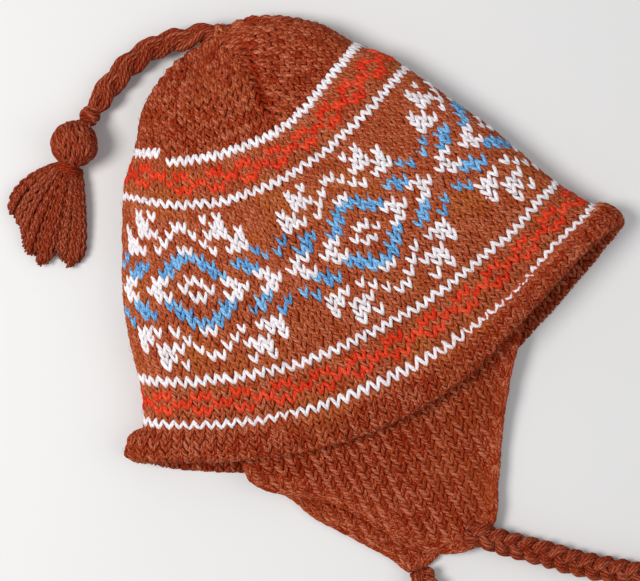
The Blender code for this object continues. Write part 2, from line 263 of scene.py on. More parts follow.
DENSE = 900
TURN_CELLS = 480       # cells of the surface grid around the hat
CELLS_PER_ROW = 4      # cells of the surface grid per knit row
BODY_END = 48.25       # the last knit row read from the dome; the hem's section takes over
HEM_READ = 47.0        # the hem's section is read from the dome's surface below this row
HEM_SAMPLES = 200      # points along the hem's section
ROW_PITCH = 3.72       # millimetres between knit rows


def row_loop(row):
    """One knit row as a closed loop: across the near face, then back along the far face."""
    near = evenly(half_row(row, False, DENSE), TURN_CELLS // 2 + 1)
    far = evenly(half_row(row, True, DENSE), TURN_CELLS // 2 + 1)
    return np.concatenate([near[:-1], far[::-1][:-1]])


def grid_normals(grid):
    """Unit normals of a grid of rows that closes around each row, pointing out of the hat."""
    down = np.gradient(grid, axis=0)
    around = np.roll(grid, -1, axis=1) - np.roll(grid, 1, axis=1)
    return unit(np.cross(around, down))


def hat_grid():
    """The dome and hem as one grid over knit row and turn, and its normals."""
    rows = np.arange(0, BODY_END + 0.01, 1 / CELLS_PER_ROW)
    body = np.stack([row_loop(row) for row in rows])
    fine_rows = np.arange(HEM_READ, SECTIONS[-1, 0] + 0.01, 1 / CELLS_PER_ROW)
    fine = np.stack([row_loop(row) for row in fine_rows])
    fine_normals = grid_normals(fine)
    turn = np.arange(TURN_CELLS) / TURN_CELLS
    swelling = curve(HEM_SWELL, turn)
    reach = curve(HEM_LONG, turn)
    place = np.arange(len(HEM_ROLL))
    fine_place = np.linspace(0, len(place) - 1, HEM_SAMPLES)
    dense = smooth(place, HEM_ROLL, fine_place)
    over = smooth(place, HEM_OVER, fine_place)
    over_share = straight(HEM_OVER_SHARE, turn)
    start = HEM_ROLL[0, 0] + straight(HEM_SHIFT, turn)
    every = np.arange(TURN_CELLS)
    rings = [row_loop(HEM_START)]
    for (row, out), (more_row, more_out) in zip(dense, over):
        at = start + (row - HEM_ROLL[0, 0]) * reach + more_row * over_share
        at = (at - HEM_READ) * CELLS_PER_ROW
        low = np.clip(at.astype(int), 0, len(fine_rows) - 2)
        mix = (at - low)[:, None]
        loop = fine[low, every] * (1 - mix) + fine[low + 1, every] * mix
        spread = out * (swelling if out > 0 else np.ones(TURN_CELLS)) + more_out * over_share
        rings.append(loop + fine_normals[low, every] * spread[:, None])
    rings = np.stack(rings)
    steps = np.linalg.norm(np.diff(rings, axis=0), axis=2).mean(axis=1)
    length = np.concatenate([[0], np.cumsum(steps)])
    wanted = np.arange(0, length[-1], ROW_PITCH / CELLS_PER_ROW)
    at = np.interp(wanted, length, np.arange(len(rings)))
    low = np.minimum(at.astype(int), len(rings) - 2)
    mix = (at - low)[:, None, None]
    hem = rings[low] * (1 - mix) + rings[low + 1] * mix
    grid = np.concatenate([body, hem])
    grid[..., 2] = np.clip(grid[..., 2], 0, None)
    normals = grid_normals(grid)
    for _ in range(2):
        normals[1:-1] = unit(normals[:-2] + 2 * normals[1:-1] + normals[2:])
    return grid, normals


GRID, NORMALS = hat_grid()
LAST_ROW = (len(GRID) - 1) / CELLS_PER_ROW


def on_hat(row, turn, out):
    """A point of the hat's surface and its normal, at knit row, turn and height out of the surface."""
    r = np.clip(np.asarray(row) * CELLS_PER_ROW, 0, len(GRID) - 1.001)
    a = np.mod(np.asarray(turn), 1.0) * TURN_CELLS
    r0 = r.astype(int)
    a0 = a.astype(int) % TURN_CELLS
    a1 = (a0 + 1) % TURN_CELLS
    fr = (r - r0)[..., None]
    fa = (a - a.astype(int))[..., None]

    def read(grid):
        upper = grid[r0, a0] * (1 - fa) + grid[r0, a1] * fa
        lower = grid[r0 + 1, a0] * (1 - fa) + grid[r0 + 1, a1] * fa
        return upper * (1 - fr) + lower * fr

    normal = unit(read(NORMALS))
    return read(GRID) + normal * np.asarray(out)[..., None], normal


# Where the knitting is stretched or pushed up on the near face: turn, row, how far round, how
# many rows, and the shift in rows, down where it is above zero.
PULLS = (
    (0.081, 30.5, 0.036, 6, -0.55),
    (0.030, 43, 0.045, 4, 0.25),
    (0.300, 15, 0.065, 2.6, 0.70),
    (0.025, 21, 0.045, 2.6, -0.35),
    (0.340, 43, 0.060, 3.2, 0.20),
    (0.415, 43, 0.025, 2.8, 0.40),
    (0.375, 49, 0.025, 2.2, 0.25),
    (0.435, 49, 0.030, 2.2, -0.30),
)


# The same for stitches pulled aside, the shift in turns.
PULLS_ROUND = (
    (0.455, 24.5, 0.030, 2.6, 0.0050),
    (0.209, 27.5, 0.020, 4, -0.0062),
)


# Creases pressed into the hat: turn, row, how far round, how many rows, and depth in mm.
CREASES = (
    (0.385, 7, 0.010, 4, 0.5),
    (0.150, 8, 0.012, 4, 0.4),
    (0.420, 50.5, 0.055, 0.9, 0.5),
)


# The seam where two sectors of the crown meet: row and turn along it, and its middle and reach in
# rows. It is SEAM_WIDE turns wide to each side.
CROWN_SEAM = np.array((
    (2.5, 0.360), (4, 0.326), (6.5, 0.305), (9.5, 0.289), (12.5, 0.280), (15, 0.276),
))
SEAM_MIDDLE = 8.0
SEAM_REACH = 6.0
SEAM_WIDE = 0.012
SEAM_DEPTH = 2.0
# how much painted shade lies along the seam
SEAM_SHADE = 0.85


def crown_seam(row, turn, wide):
    """How near a place is to the crown's seam, from 0 to 1."""
    centre = np.interp(row, CROWN_SEAM[:, 0], CROWN_SEAM[:, 1])
    return np.exp(-((turn - centre) / wide) ** 2 - ((row - SEAM_MIDDLE) / SEAM_REACH) ** 4)


def crease_depth(row, turn):
    """How far the creases press the surface in, in mm."""
    return SEAM_DEPTH * crown_seam(row, turn, SEAM_WIDE) + bells(CREASES, row, turn)


# Painted shade where the yarn lies in a fold: turn, row, their half widths, and how dark.
FOLD_SHADES = (
    (0.430, 50.5, 0.065, 0.9, 0.6),
)


def fold_shade(row, turn):
    """How much painted shade the yarn has in the folds and along the crown's seam, from 0 to 1."""
    return SEAM_SHADE * crown_seam(row, turn, SEAM_WIDE * 0.75) + bells(FOLD_SHADES, row, turn)


# How far the near face's knitting has slipped as the hat lies, at its four white lines and in the
# middle of the wide band: rows down, and hundredths of a turn round. The columns are the left fold,
# a third and two thirds of the way across, and the right fold.
SLIP_ROWS = (14, 22, 32, 43, 50)
SLIP_TURNS = (0, 0.17, 0.33, 0.5, 1)     # the last is the left fold again
SLIP_DOWN = (
    (0.85, 0.65, 0.3, -0.25),
    (-0.75, 0, 0.4, 0.25),
    (-1.4, -0.15, 0.65, 0.5),
    (-1.25, -0.2, 0.55, 0.4),
    (-1.15, -0.15, 0.4, 0.25),
)
SLIP_ROUND = (
    (-0.6, -0.85, -1.35, -1.65),
    (-0.05, -0.25, -0.5, -0.7),
    (0.7, 0.65, 0, -0.55),
    (0.4, 0.4, 0.25, -0.3),
    (-0.15, 0.1, 0.25, -0.2),
)
SLIP_FADE = (4, 14, 50, 56)     # it starts, is whole, is still whole, and has ended at these rows


def slip(table, row, turn):
    """A slip table read at row and turn. The far face leads straight back to the left fold."""
    total = 0.0
    for line, at_row in zip(table, SLIP_ROWS):
        share = np.interp(row, SLIP_ROWS, np.equal(SLIP_ROWS, at_row))
        total = total + share * np.interp(turn, SLIP_TURNS, (*line, line[0]))
    return total * np.interp(row, SLIP_FADE, (0, 1, 1, 0))


def on_knit(row, turn, out):
    """The hat's surface with its knitting pulled a little out of line, as it lies."""
    row = np.asarray(row, float)
    turn = np.mod(turn, 1.0)
    moved = row + slip(SLIP_DOWN, row, turn) + bells(PULLS, row, turn)
    slipped = turn + slip(SLIP_ROUND, row, turn) / 100 + bells(PULLS_ROUND, row, turn)
    return on_hat(moved, slipped, out - crease_depth(moved, slipped))


# Meshes

FLOOR_GAP = 0.02        # nothing lies lower than this over the floor
YARN_OFFSET = 97.0      # how far apart two yarns' grain may start, in mm
UP = np.array((0.0, 0.0, 1.0))


def add_piece(name, data, material):
    """A mesh as a piece of the hat."""
    data.shade_smooth()
    data.materials.append(material)
    item = bpy.data.objects.new(name, data)
    bpy.context.scene.collection.objects.link(item)
    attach(item, "root")
    return item


class Tubes:
    """Many tubes gathered for one mesh."""

    def __init__(self):
        self.points = []
        self.quads = []
        self.caps = []
        self.uvs = []
        self.shade = []
        self.cavity_shade = []
        self.count = 0

    def add(self, centres, normals, radii, sides, shade, cavity_shade):
        """centres and normals are (tubes, rings, 3); radii and the painted shade where the yarn dives
        under (tubes, rings); shade (tubes,).
        """
        tubes, rings = centres.shape[:2]
        tangent = unit(np.gradient(centres, axis=1))
        across = unit(np.cross(tangent, normals))
        lift = np.cross(across, tangent)
        angle = np.arange(sides) * 2 * np.pi / sides - np.pi / 2
        ring = (np.cos(angle)[:, None] * across[:, :, None, :]
                + np.sin(angle)[:, None] * lift[:, :, None, :])
        points = centres[:, :, None, :] + ring * radii[:, :, None, None]
        index = self.count + np.arange(tubes * rings * sides).reshape(tubes, rings, sides)
        turned = np.roll(index, -1, axis=2)
        quads = np.stack([index[:, :-1], index[:, 1:], turned[:, 1:], turned[:, :-1]], axis=-1)
        self.quads.append(quads.reshape(-1, 4))
        self.caps.append((index[:, 0].reshape(tubes, sides), index[:, -1, ::-1].reshape(tubes, sides)))
        self.points.append(points.reshape(-1, 3))
        steps = np.linalg.norm(np.diff(centres, axis=1), axis=2)
        along = np.concatenate([np.zeros((tubes, 1)), np.cumsum(steps, axis=1)], axis=1)
        along = along + (shade * YARN_OFFSET)[:, None]
        u0 = np.repeat(along[:, :, None], sides, axis=2)
        v0 = np.broadcast_to(np.arange(sides) / sides, (tubes, rings, sides))
        v1 = np.broadcast_to((np.arange(sides) + 1) / sides, (tubes, rings, sides))
        quad_uv = np.stack([
            np.stack([u0[:, :-1], v0[:, :-1]], axis=-1),
            np.stack([u0[:, 1:], v0[:, 1:]], axis=-1),
            np.stack([u0[:, 1:], v1[:, 1:]], axis=-1),
            np.stack([u0[:, :-1], v1[:, :-1]], axis=-1),
        ], axis=-2)
        self.uvs.append(quad_uv.reshape(-1, 2))
        self.shade.append(np.repeat(shade, rings * sides))
        self.cavity_shade.append(np.repeat(cavity_shade.reshape(-1), sides))
        self.count += tubes * rings * sides

    def add_yarn(self, line, normals, radius, sides, shade, cavity_shade=0.0):
        """One tube. normals, radius and its painted shade may be the same all along it."""
        rings = len(line)
        self.add(line[None], np.broadcast_to(normals, (1, rings, 3)), np.broadcast_to(radius, (1, rings)),
                 sides, np.array([shade]), np.broadcast_to(cavity_shade, (1, rings)))

    def build(self, name, material):
        """One piece of all the tubes, with filled ends, kept above the floor."""
        points = np.concatenate(self.points)
        points[:, 2] = np.maximum(points[:, 2], FLOOR_GAP)
        quads = np.concatenate(self.quads)
        corners = [quads.reshape(-1)]
        sizes = [np.full(len(quads), 4)]
        uvs = [np.concatenate(self.uvs)]
        for start, end in self.caps:
            for cap in (start, end):
                corners.append(cap.reshape(-1))
                sizes.append(np.full(len(cap), cap.shape[1]))
                uvs.append(np.zeros((cap.size, 2)))
        corners = np.concatenate(corners)
        sizes = np.concatenate(sizes)
        starts = np.concatenate([[0], np.cumsum(sizes)[:-1]])
        data = bpy.data.meshes.new(name)
        data.vertices.add(len(points))
        data.vertices.foreach_set("co", world(points).astype(np.float32).ravel())
        data.loops.add(len(corners))
        data.loops.foreach_set("vertex_index", corners.astype(np.int32))
        data.polygons.add(len(sizes))
        data.polygons.foreach_set("loop_start", starts.astype(np.int32))
        data.update(calc_edges=True)
        layer = data.uv_layers.new(name="yarn")
        layer.data.foreach_set("uv", np.concatenate(uvs).astype(np.float32).ravel())
        # shade is each tube's tone at random, with painted shade on one leg of each V; the second
        # attribute is painted shade where yarn dives under or lies in a fold
        for label, values in (("shade", self.shade), ("cavity_shade", self.cavity_shade)):
            attribute = data.attributes.new(label, "FLOAT", "POINT")
            attribute.data.foreach_set("value", np.concatenate(values).astype(np.float32))
        return add_piece(name, data, material)


# Materials

class Shading:
    """A new material and short ways to add nodes to it. A value may be a number, a colour or a socket."""

    def __init__(self, name, roughness):
        self.material = bpy.data.materials.new(name)
        self.material.use_nodes = True
        self.nodes = self.material.node_tree.nodes
        self.links = self.material.node_tree.links
        self.shader = self.nodes["Principled BSDF"]
        self.shader.inputs["Roughness"].default_value = roughness
        self.place = self.nodes.new("ShaderNodeTexCoord").outputs["Object"]

    def feed(self, socket, value):
        if isinstance(value, (int, float, tuple)):
            socket.default_value = value
        else:
            self.links.new(value, socket)

    def noise(self, vector, scale, detail, rough):
        node = self.nodes.new("ShaderNodeTexNoise")
        node.inputs["Scale"].default_value = scale
        node.inputs["Detail"].default_value = detail
        node.inputs["Roughness"].default_value = rough
        self.links.new(vector, node.inputs["Vector"])
        return node.outputs["Fac"]

    def calc(self, operation, first, second=0.0):
        node = self.nodes.new("ShaderNodeMath")
        node.operation = operation
        self.feed(node.inputs[0], first)
        self.feed(node.inputs[1], second)
        return node.outputs[0]

    def mix(self, factor, first, second):
        node = self.nodes.new("ShaderNodeMix")
        node.data_type = "RGBA"
        self.feed(node.inputs[0], factor)
        self.feed(node.inputs[6], first)
        self.feed(node.inputs[7], second)
        return node.outputs[2]

    def attribute(self, name):
        node = self.nodes.new("ShaderNodeAttribute")
        node.attribute_name = name
        return node.outputs["Fac"]

    def bump(self, height, strength, distance):
        node = self.nodes.new("ShaderNodeBump")
        node.inputs["Strength"].default_value = strength
        node.inputs["Distance"].default_value = distance
        self.links.new(height, node.inputs["Height"])
        self.links.new(node.outputs["Normal"], self.shader.inputs["Normal"])


def srgb(red, green, blue):
    """An sRGB colour from 0 to 255 as linear RGBA."""
    values = np.array((red, green, blue)) / 255
    linear = np.where(values <= 0.04045, values / 12.92, ((values + 0.055) / 1.055) ** 2.4)
    return (*[float(v) for v in linear], 1.0)


TWIST = 0.085           # turns of the plies per millimetre of yarn
PLIES = 4
FIBRES_ALONG = 1.1      # grain of the fibres along the yarn, per mm
FIBRES_ROUND = 12.0     # and round it, per turn
LINT_SIZE = 1500.0      # scale of the fuzz that lies over the yarn, per metre
BLOTCH_SIZE = 34.0      # scale of the patches of another dye tone, per metre
BLOTCH_SHARE = 0.32


def yarn_material(name, base, light, dark, painted_shade_colour, patch=None, ply_relief_and_shade=0.30, stitch_tone=0.46):
    """Twisted wool yarn: fibres, plies with painted highlight and shade, tone at random from stitch to
    stitch with painted shade on one leg of each V, and painted shade where it dives under or lies in a
    fold.
    """
    wool = Shading(name, 0.9)
    uv = wool.nodes.new("ShaderNodeUVMap")
    uv.uv_map = "yarn"
    split = wool.nodes.new("ShaderNodeSeparateXYZ")
    wool.links.new(uv.outputs["UV"], split.inputs["Vector"])
    along = split.outputs["X"]
    twisted = wool.calc("ADD", split.outputs["Y"], wool.calc("MULTIPLY", along, TWIST))
    spread = wool.nodes.new("ShaderNodeCombineXYZ")
    wool.feed(spread.inputs["X"], wool.calc("MULTIPLY", along, FIBRES_ALONG))
    wool.feed(spread.inputs["Y"], wool.calc("MULTIPLY", twisted, FIBRES_ROUND))
    fibres = wool.noise(spread.outputs["Vector"], 1.0, 4.0, 0.7)
    wave = wool.calc("ABSOLUTE", wool.calc("SINE", wool.calc("MULTIPLY", twisted, np.pi * PLIES)))
    plies = wool.calc("POWER", wave, 0.6)
    lint = wool.noise(wool.place, LINT_SIZE, 3.0, 0.75)
    # each stitch's tone at random, with the painted shade of one leg of each V
    tone_and_side_shade = wool.calc("SUBTRACT", wool.attribute("shade"), 0.5)
    # the plies drive the colour too: lighter on their crowns and darker between them, painted highlight
    # and painted shade beside their bump
    tone = wool.calc("ADD", wool.calc("MULTIPLY", fibres, 1.25), wool.calc("MULTIPLY", plies, ply_relief_and_shade))
    tone = wool.calc("ADD", tone, wool.calc("MULTIPLY", lint, 1.1))
    tone = wool.calc("ADD", tone, wool.calc("MULTIPLY", tone_and_side_shade, stitch_tone))
    ramp = wool.nodes.new("ShaderNodeValToRGB")
    ramp.color_ramp.elements[0].position = 0.36
    ramp.color_ramp.elements[0].color = dark
    ramp.color_ramp.elements[1].position = 0.82
    ramp.color_ramp.elements[1].color = light
    ramp.color_ramp.elements.new(0.60).color = base
    wool.links.new(wool.calc("SUBTRACT", tone, 0.58 + 0.77 * ply_relief_and_shade), ramp.inputs["Fac"])
    colour = ramp.outputs["Color"]
    if patch:
        window = wool.nodes.new("ShaderNodeMapRange")
        window.inputs["From Min"].default_value = 0.52
        window.inputs["From Max"].default_value = 0.68
        wool.links.new(wool.noise(wool.place, BLOTCH_SIZE, 2.0, 0.5), window.inputs["Value"])
        amount = wool.calc("MULTIPLY", window.outputs["Result"], BLOTCH_SHARE)
        colour = wool.mix(amount, colour, patch)
    # painted shade: mixed toward the painted shade colour where the yarn dives under or lies in a fold
    colour = wool.mix(wool.attribute("cavity_shade"), colour, painted_shade_colour)
    wool.links.new(colour, wool.shader.inputs["Base Color"])
    wool.shader.inputs["Sheen Weight"].default_value = 0.04
    wool.shader.inputs["Sheen Roughness"].default_value = 0.5
    wool.shader.inputs["Sheen Tint"].default_value = light
    wool.shader.inputs["Specular IOR Level"].default_value = 0.1
    height = wool.calc("ADD", wool.calc("MULTIPLY", plies, 2.4 * ply_relief_and_shade),
                       wool.calc("MULTIPLY", fibres, 0.9))
    height = wool.calc("ADD", height, wool.calc("MULTIPLY", lint, 0.9))
    wool.bump(height, 1.0, 0.0004)
    return wool.material


# Each yarn: base colour, light and dark ends of its tone, its painted shade colour, and for some a dye
# patch colour
BROWN = yarn_material("brown_yarn", srgb(152, 58, 21), srgb(196, 114, 82), srgb(127, 25, 0),
                      srgb(146, 34, 2), patch=srgb(158, 74, 30))
BAND_BROWN = yarn_material("brown_yarn_of_the_bands", srgb(168, 77, 42), srgb(204, 126, 92),
                           srgb(146, 50, 10), srgb(162, 58, 15), patch=srgb(182, 102, 32),
                           stitch_tone=0.32)
CORD_BROWN = yarn_material("cord_yarn", srgb(143, 55, 24), srgb(174, 92, 66), srgb(118, 27, 3),
                           srgb(140, 34, 4), ply_relief_and_shade=0.42, stitch_tone=0.30)
FUZZ_BROWN = yarn_material("brown_fuzz", srgb(196, 112, 78), srgb(224, 152, 118), srgb(166, 84, 52),
                           srgb(120, 50, 24))
# the white yarn's colours are tinted a little pink, painted reflection of the brown yarn around it
WHITE = yarn_material("white_yarn", srgb(240, 233, 234), srgb(252, 248, 250), srgb(222, 210, 210),
                      srgb(214, 192, 184), ply_relief_and_shade=0.2)
BLUE = yarn_material("blue_yarn", srgb(110, 172, 218), srgb(160, 208, 242), srgb(70, 126, 178),
                     srgb(72, 108, 150), ply_relief_and_shade=0.25)
RED = yarn_material("red_yarn", srgb(222, 60, 28), srgb(240, 94, 60), srgb(190, 36, 14),
                    srgb(150, 30, 8), ply_relief_and_shade=0.25)


# Knitting

# One leg of a V stitch: across in stitch widths, up in rows, height in mm, radius in mm, and painted shade
# where the leg dives under.
LEG = np.array((
    (0.020, -0.42, -1.95, 0.66, 0.9),
    (0.060, -0.08, -1.18, 0.82, 0.36),
    (0.165, 0.24, -0.91, 0.90, 0.03),
    (0.310, 0.65, -0.87, 0.91, 0),
    (0.440, 1.06, -1.10, 0.87, 0.2),
    (0.500, 1.38, -1.90, 0.68, 0.9),
))
LEG_COARSE = LEG[[0, 2, 3, 5]]
STITCH_BASE = 0.31      # how far below its row's line a stitch starts, in rows
LEG_TOP = 0.55          # the height in a leg that stays where it is when a stitch is pressed flat
UNEVEN_WIDE = 0.08      # how much one stitch differs from the next: in width, as a share,
UNEVEN_ASIDE = 0.035    # in its place aside, in stitch widths,
UNEVEN_UP = 0.055       # in its place up, in rows,
UNEVEN_HEIGHT = 0.15    # in how far it stands out, in mm,
UNEVEN_THICK = 0.07     # and in its yarn's thickness, as a share
LEG_ASIDE = 0.03        # how much its two legs differ aside
LEG_UP = 0.05           # and up
TONE_LEAST = 0.1        # a leg's tone: the least, and the shares that its stitch and it decide
TONE_OF_STITCH = 0.45
TONE_OF_LEG = 0.35


def stitches(tubes, surface, row, turn, width, lean, coarse=False, size=1.0, raise_by=0.0, tall=None,
             side_painted_shade=-0.08, folds=None):
    """V stitches on a surface. row, turn, width (in turns) and lean (turns per row up) are arrays."""
    leg = LEG_COARSE if coarse else LEG
    count = len(row)
    if not count:
        return
    shade = rng.random(count)
    wander = rng.normal(0, 1, (count, 6))
    for side in (-1, 1):
        across = side * leg[None, :, 0] * (1 + UNEVEN_WIDE * wander[:, 0:1])
        across = across + UNEVEN_ASIDE * wander[:, 1:2] + LEG_ASIDE * side * wander[:, 4:5]
        up = leg[None, :, 1] + UNEVEN_UP * wander[:, 2:3] + LEG_UP * side * wander[:, 5:6]
        if tall is not None:
            up = LEG_TOP + (up - LEG_TOP) * tall[:, None]
        height = leg[None, :, 2] + UNEVEN_HEIGHT * wander[:, 3:4] + raise_by
        thick = size * (1 + UNEVEN_THICK * wander[:, 0:1])
        radius = np.repeat(leg[None, :, 3], count, axis=0) * thick
        rows_up = row[:, None] + STITCH_BASE - up
        turns = turn[:, None] + across * width[:, None] + lean[:, None] * (up - 0.5)
        centres, normals = surface(rows_up, turns, height)
        tone = TONE_LEAST + TONE_OF_STITCH * shade + TONE_OF_LEG * rng.random(count)
        # painted shade: one leg of each V darker than the other, as light falls across it
        tone = tone + side_painted_shade * side
        # painted shade: darker where each leg dives under, in the folds and along the crown's seam
        dark = np.repeat(leg[None, :, 4], count, axis=0)
        if folds is not None:
            dark = np.clip(dark + folds(rows_up, np.mod(turns, 1.0)), 0, 1)
        tubes.add(centres, normals, radius, 4 if coarse else 6, tone, dark)


# Colours of the wide band, for rows counted from its middle: . brown, W white, B blue.
CHART = (
    ".WW..WW..W..W..WW..WW",
    "..WW..WW..WW..WW..WW.",
    "...BB..BB....BB..BB..",
    ".B..BB..BB..BB..BB..B",
    "..B......BBBB......B.",
    "...WWW.W..WW..W.WWW..",
    "...WW...W....W...WW..",
    "...W.WWW.W..W.WWW.W..",
    ".....WW...WW...WW....",
    ".....W.W......W.W....",
    ".....................",
    "WWWWWWWWWWWWWWWWWWWWW",
)
CHART_MIDDLE = 32
RED_CHART = (".RR.", "R..R", ".RR.")
WHITE_LINES = (15, 21, 43, 49)
UPPER_RED = 17
LOWER_RED = 45
JOG_COLUMNS = 8         # columns left of the place where the rounds begin, a row out of step
JOG_LAST_ROW = 21
BAND_COUNTS = (84, 105)  # stitches round the upper bands, and round the rows below them


def stitch_colour(row, column):
    """The colour letter of one stitch."""
    if row < JOG_LAST_ROW - 1 and column < JOG_COLUMNS:
        row = row + 1
        column = column + 1
        if row == WHITE_LINES[0] and column == JOG_COLUMNS:
            return "."
    if row in WHITE_LINES:
        return "W"
    if UPPER_RED <= row < UPPER_RED + 3:
        return RED_CHART[row - UPPER_RED][column % 4]
    if LOWER_RED <= row < LOWER_RED + 3:
        return RED_CHART[row - LOWER_RED][(column + 2) % 4]
    if abs(row - CHART_MIDDLE) < 11:
        return CHART[abs(row - CHART_MIDDLE)][column % 21]
    return "."


BAND_FIRST = 15         # the first patterned row; the crown's sectors lie above it
SECTORS = ((0.0, 0.282), (0.282, 0.5), (0.5, 0.75), (0.75, 1.0))
CROWN_STITCH = 4.0      # width of a crown stitch in mm


def loop_length(row):
    """Millimetres around a knit row."""
    loop = GRID[int(round(row * CELLS_PER_ROW))]
    return np.linalg.norm(loop - np.roll(loop, 1, axis=0), axis=1).sum()


def crown_rows():
    """Stitches of the four crown sectors: row, turn, width, lean."""
    found = []
    jog_end = JOG_COLUMNS / BAND_COUNTS[0]
    for row in range(1, BAND_FIRST):
        around = loop_length(row)
        above = loop_length(max(row - 1, 0.5))
        for start, end in SECTORS:
            middle = (start + end) / 2
            room = (end - start) * around / CROWN_STITCH
            count = max(1, 2 * round((room - 1) / 2) + 1)
            width = (end - start) / count
            place = np.arange(count) - (count - 1) / 2
            lean = place * width * (around / above - 1)
            for offset, slope in zip(place, lean):
                turn = middle + offset * width
                if row == BAND_FIRST - 1 and turn < jog_end:
                    continue
                found.append((row, turn, width, slope))
    return np.array(found)


def round_rows():
    """Stitches of the rows knitted straight round: row, turn, width, lean, colour letter."""
    found = []
    letters = []
    for row in range(BAND_FIRST - 1, int(LAST_ROW) + 1):
        count = BAND_COUNTS[0] if row <= JOG_LAST_ROW else BAND_COUNTS[1]
        columns = JOG_COLUMNS if row < BAND_FIRST else count
        for column in range(columns):
            place = column + 0.5 if row <= JOG_LAST_ROW else column
            found.append((row, place / count, 1 / count, 0.0))
            letters.append(stitch_colour(row, column))
    return np.array(found), np.array(letters)


# How tall the stitches of the white lines are, by turn. The hem's roll presses on the last one.
LINE_TALL = np.array(((0, 0.92), (0.2, 0.88), (0.35, 0.78), (0.48, 0.78), (1, 0.92)))
LAST_LINE_TALL = np.array((
    (0, 0.88), (0.10, 0.80), (0.17, 0.62), (0.30, 0.50), (0.36, 0.47), (0.39, 0.40), (0.45, 0.44),
    (0.48, 0.75), (0.5, 0.85), (1, 0.88),
))
HEM_INSIDE = 57         # rows below this one are rolled under, and need less detail
CROWN = crown_rows()
PLAIN, LETTERS = round_rows()

# The brown stitches of the bands, in pieces from one row to another.
BANDS = (("band_stitches", 14, 31), ("middle_stitches", 32, 42), ("rim_stitches", 43, 50))
FINE_MARGIN = 0.015     # how far past the two folds the stitches have their full detail, in turns
FUZZ_MARGIN = 0.03      # how far past them fuzz is laid
UNDERLAY = (0.02, 0.49)         # brown stitches lie under the last white line between these turns
UNDERLAY_LOWER = (0.33, 0.48)   # and once more, shifted by so many rows and turns, between these
UNDERLAY_SHIFT = (0.6, 0.005, 0, 0)


def near_face(turn, margin):
    """Whether places lie on the near face, or past its folds by less than the margin."""
    return np.mod(turn + margin, 1.0) < 0.5 + 2 * margin


def knit_hat():
    """All stitches of the dome and hem, in pieces by colour and place."""
    pieces = []

    def knit(name, table, material, size=1.0, raise_by=0.0, tall=None):
        tubes = Tubes()
        row, turn, width, lean = table.T
        fine = near_face(turn, FINE_MARGIN) & (row <= HEM_INSIDE)
        for coarse in (False, True):
            chosen = fine != coarse
            stitches(tubes, on_knit, row[chosen], turn[chosen], width[chosen], lean[chosen],
                     coarse=coarse, size=size, raise_by=raise_by,
                     tall=None if tall is None else tall[chosen],
                     folds=fold_shade if material is BROWN else None)
        pieces.append(tubes.build(name, material))

    knit("crown_stitches", CROWN, BROWN, size=1.28, tall=np.full(len(CROWN), 0.76))
    brown = LETTERS == "."
    for name, first, end in BANDS:
        chosen = brown & (PLAIN[:, 0] >= first) & (PLAIN[:, 0] <= end)
        knit(name, PLAIN[chosen], BAND_BROWN, size=1.06)
    knit("hem_stitches", PLAIN[brown & (PLAIN[:, 0] > 50)], BROWN, size=1.08)
    white = PLAIN[LETTERS == "W"]
    turn = white[:, 1]
    last_line = white[:, 0] == WHITE_LINES[-1]
    tall = np.where(last_line, straight(LAST_LINE_TALL, turn), straight(LINE_TALL, turn))
    knit("white_stitches", white, WHITE, size=1.06, raise_by=0.20, tall=tall)
    # brown stitches lie under the part of the last white line that the hem's roll presses flat
    underlay = white[last_line & (turn > UNDERLAY[0]) & (turn < UNDERLAY[1])]
    lower = underlay[(underlay[:, 1] > UNDERLAY_LOWER[0]) & (underlay[:, 1] < UNDERLAY_LOWER[1])]
    underlay = np.concatenate([underlay, lower + UNDERLAY_SHIFT])
    knit("underlay_stitches", underlay, BAND_BROWN, size=1.0, raise_by=-0.45)
    knit("blue_stitches", PLAIN[LETTERS == "B"], BLUE, size=1.02, raise_by=0.14)
    knit("red_stitches", PLAIN[LETTERS == "R"], RED, size=1.22, raise_by=0.16)
    return pieces


HAIR_ROOT = -0.3        # where a hair leaves the knitting, in mm out of the surface
HAIR_LONG = (1.4, 3.4)  # the shortest and the longest, in mm
HAIR_RISE = (0.15, 0.75)        # how steeply a hair stands off, from least to most
HAIR_CURL = 0.35
HAIR_RADII = (0.07, 0.06, 0.04)


def fuzz(name, table, count, material):
    """Single fibres that stand off the knitting, each a fine bent hair."""
    tubes = Tubes()
    chosen = table[rng.integers(0, len(table), count)]
    row = chosen[:, 0] + rng.uniform(-0.5, 0.5, count)
    turn = chosen[:, 1] + chosen[:, 2] * rng.uniform(-0.5, 0.5, count)
    root, normal = on_knit(row, turn, np.full(count, HAIR_ROOT))
    drift = unit(rng.normal(0, 1, (count, 3)))
    drift = unit(drift - normal * np.sum(drift * normal, axis=1)[:, None])
    length = rng.uniform(*HAIR_LONG, count)[:, None]
    rise = rng.uniform(*HAIR_RISE, count)[:, None]
    curl = unit(np.cross(normal, drift)) * rng.normal(0, HAIR_CURL, count)[:, None]
    middle = root + length * (drift * 0.5 + normal * rise * 0.62)
    end = root + length * (drift * 0.95 + normal * rise * 0.7 + curl)
    centres = np.stack([root, middle, end], axis=1)
    radii = np.broadcast_to(HAIR_RADII, (count, 3))
    tubes.add(centres, np.repeat(normal[:, None], 3, axis=1), radii, 3, rng.random(count),
              np.zeros((count, 3)))
    return tubes.build(name, material)


def fuzz_hat():
    """Fuzz over the near face and the folds of the hat."""
    white = PLAIN[LETTERS == "W"]
    every = np.concatenate([CROWN, PLAIN[LETTERS != "W"]])
    every = every[near_face(every[:, 1], FUZZ_MARGIN) & (every[:, 0] < HEM_INSIDE)]
    white = white[near_face(white[:, 1], FUZZ_MARGIN)]
    return [fuzz("hat_fuzz", every, 2600, FUZZ_BROWN), fuzz("white_fuzz", white, 420, WHITE)]


hat_pieces = knit_hat()
hat_pieces.extend(fuzz_hat())


